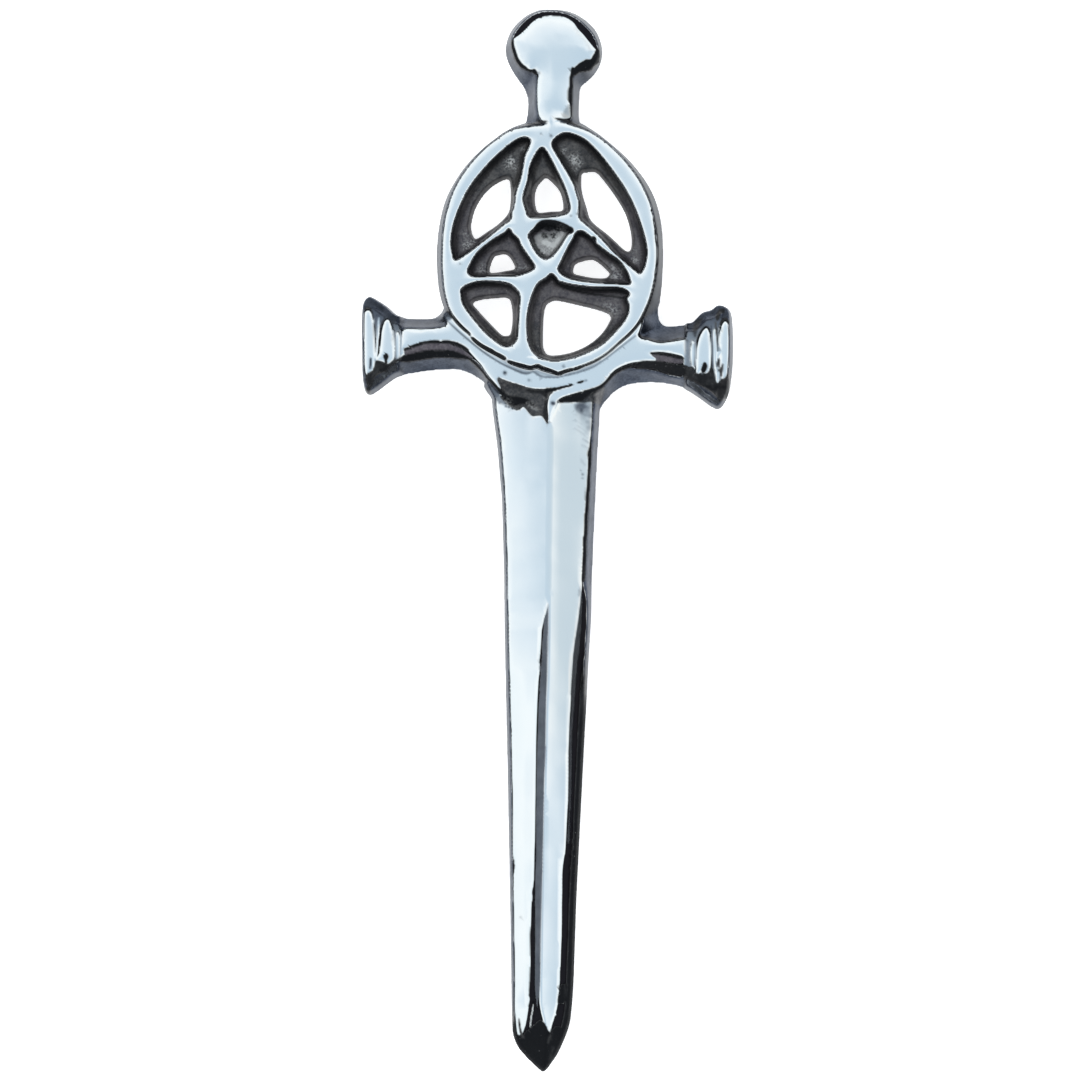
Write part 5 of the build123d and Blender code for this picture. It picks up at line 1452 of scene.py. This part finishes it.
def steel_material():
    m, nodes, links = node_tree("pin_steel")
    out = nodes.new("ShaderNodeOutputMaterial")
    bsdf = nodes.new("ShaderNodeBsdfPrincipled")
    links.new(bsdf.outputs[0], out.inputs[0])
    coord = nodes.new("ShaderNodeTexCoord").outputs["Object"]
    n = noise(nodes, links, coord, 700, 3, 0.5)
    links.new(blend(nodes, links, mapped(nodes, links, n, 0.35, 0.65), (0.34, 0.35, 0.37), (0.46, 0.47, 0.49)), bsdf.inputs["Base Color"])
    links.new(mapped(nodes, links, n, 0.3, 0.7, 0.20, 0.34), bsdf.inputs["Roughness"])
    bsdf.inputs["Metallic"].default_value = 1.0
    return m


def floor_material():
    m, nodes, links = node_tree("studio_floor")
    out = nodes.new("ShaderNodeOutputMaterial")
    bsdf = nodes.new("ShaderNodeBsdfPrincipled")
    links.new(bsdf.outputs[0], out.inputs[0])
    coord = nodes.new("ShaderNodeTexCoord").outputs["Object"]
    n = noise(nodes, links, coord, 3, 3, 0.5)
    pale = blend(nodes, links, mapped(nodes, links, n, 0.3, 0.7), (0.88, 0.88, 0.88), (0.90, 0.90, 0.90))
    links.new(pale, bsdf.inputs["Base Color"])
    links.new(pale, bsdf.inputs["Emission Color"])
    bsdf.inputs["Emission Strength"].default_value = 0.82
    bsdf.inputs["Roughness"].default_value = 0.9
    bsdf.inputs["Specular IOR Level"].default_value = 0.1
    return m


sword.data.materials.append(casting_material())
clasp.data.materials.append(steel_material())
for piece, node, slot in ((sword, "sword", "polished_cast"), (clasp, "pin_clasp", "pin_steel")):
    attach(piece, "root")
    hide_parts(node)

# ============================================================================
# studio
# ============================================================================
bpy.ops.mesh.primitive_plane_add(size=3.0, location=(0, 0, 0))
floor = bpy.context.object
floor.name = "floor"
floor.data.materials.append(floor_material())

world = bpy.data.worlds.new("studio")
bpy.context.scene.world = world
world.use_nodes = True
wt = world.node_tree
wt.nodes.clear()
w_out = wt.nodes.new("ShaderNodeOutputWorld")
w_bg = wt.nodes.new("ShaderNodeBackground")
wt.links.new(w_bg.outputs[0], w_out.inputs[0])
w_dir = wt.nodes.new("ShaderNodeTexCoord").outputs["Generated"]
w_xyz = wt.nodes.new("ShaderNodeSeparateXYZ")
wt.links.new(w_dir, w_xyz.inputs[0])
w_ramp = wt.nodes.new("ShaderNodeValToRGB")
w_ramp.color_ramp.interpolation = "LINEAR"
stops = (
    (0.00, (0.80, 0.82, 0.84)), (0.30, (0.74, 0.78, 0.81)), (0.44, (0.62, 0.66, 0.70)), (0.50, (0.014, 0.014, 0.018)),
    (0.77, (0.012, 0.012, 0.015)), (0.83, (0.86, 0.95, 0.98)), (0.93, (0.94, 1.00, 1.02)), (0.968, (0.76, 0.86, 0.93)),
    (0.988, (0.59, 0.715, 0.81)), (1.00, (0.555, 0.685, 0.79)),
)
while len(w_ramp.color_ramp.elements) < len(stops):
    w_ramp.color_ramp.elements.new(0.5)
for e, (at, colour) in zip(w_ramp.color_ramp.elements, stops):
    e.position = at
    e.color = (*colour, 1.0)
# the dark surroundings sit a little higher towards one corner of the studio
w_corner = math_node(wt.nodes, wt.links, "ADD", w_xyz.outputs["X"], w_xyz.outputs["Y"])
w_corner = mapped(wt.nodes, wt.links, w_corner, -1.02, -1.20, 0.0, 0.14)
wt.links.new(math_node(wt.nodes, wt.links, "SUBTRACT", w_xyz.outputs["Z"], w_corner), w_ramp.inputs[0])
wt.links.new(w_ramp.outputs[0], w_bg.inputs["Color"])
w_bg.inputs["Strength"].default_value = 1.0


def softbox(name, place, aim, size, power, colour):
    data = bpy.data.lights.new(name, "AREA")
    data.shape = "DISK"
    data.size = size
    data.energy = power
    data.color = colour
    obj = bpy.data.objects.new(name, data)
    bpy.context.scene.collection.objects.link(obj)
    obj.location = place
    from mathutils import Vector
    obj.rotation_euler = (Vector(aim) - Vector(place)).to_track_quat("-Z", "Y").to_euler()
    obj.visible_glossy = False
    return obj


softbox("key", (-0.35, 0.30, 0.95), (0, 0, 0), 0.8, 5.2, (1.0, 0.995, 0.98))
softbox("fill", (0.4, -0.4, 0.95), (0, 0, 0), 0.9, 3.0, (0.97, 0.985, 1.0))

# ---- camera: from above, a little below and right of the middle ----------------
CAM_TILT, CAM_SIDE, CAM_ROLL, CAM_LENS = 5.0, 3.0, -0.7063, 200.0
CAM_AIM, CAM_FAR = (-0.459, -0.288, BACK), 606.79
cam_data = bpy.data.cameras.new("camera")
cam_data.lens = CAM_LENS
cam_data.sensor_width = 36.0
cam_data.clip_start = 0.01
cam = bpy.data.objects.new("camera", cam_data)
bpy.context.scene.collection.objects.link(cam)
n = np.array([math.sin(math.radians(CAM_SIDE)), -math.sin(math.radians(CAM_TILT)), 0.0])
n[2] = math.sqrt(1 - n[0] ** 2 - n[1] ** 2)
u0 = np.array([0, 1.0, 0]) - n[1] * n
u0 /= np.linalg.norm(u0)
r0 = np.cross(u0, n)
k = math.radians(CAM_ROLL)
u = u0 * math.cos(k) + r0 * math.sin(k)
r = np.cross(u, n)
c = (np.array(CAM_AIM) + n * CAM_FAR) / 1000.0
from mathutils import Matrix

cam.matrix_world = Matrix(((r[0], u[0], n[0], c[0]), (r[1], u[1], n[1], c[1]), (r[2], u[2], n[2], c[2]), (0, 0, 0, 1)))
bpy.context.scene.camera = cam
bpy.context.scene.view_settings.view_transform = "Standard"
bpy.context.scene.view_settings.look = "None"
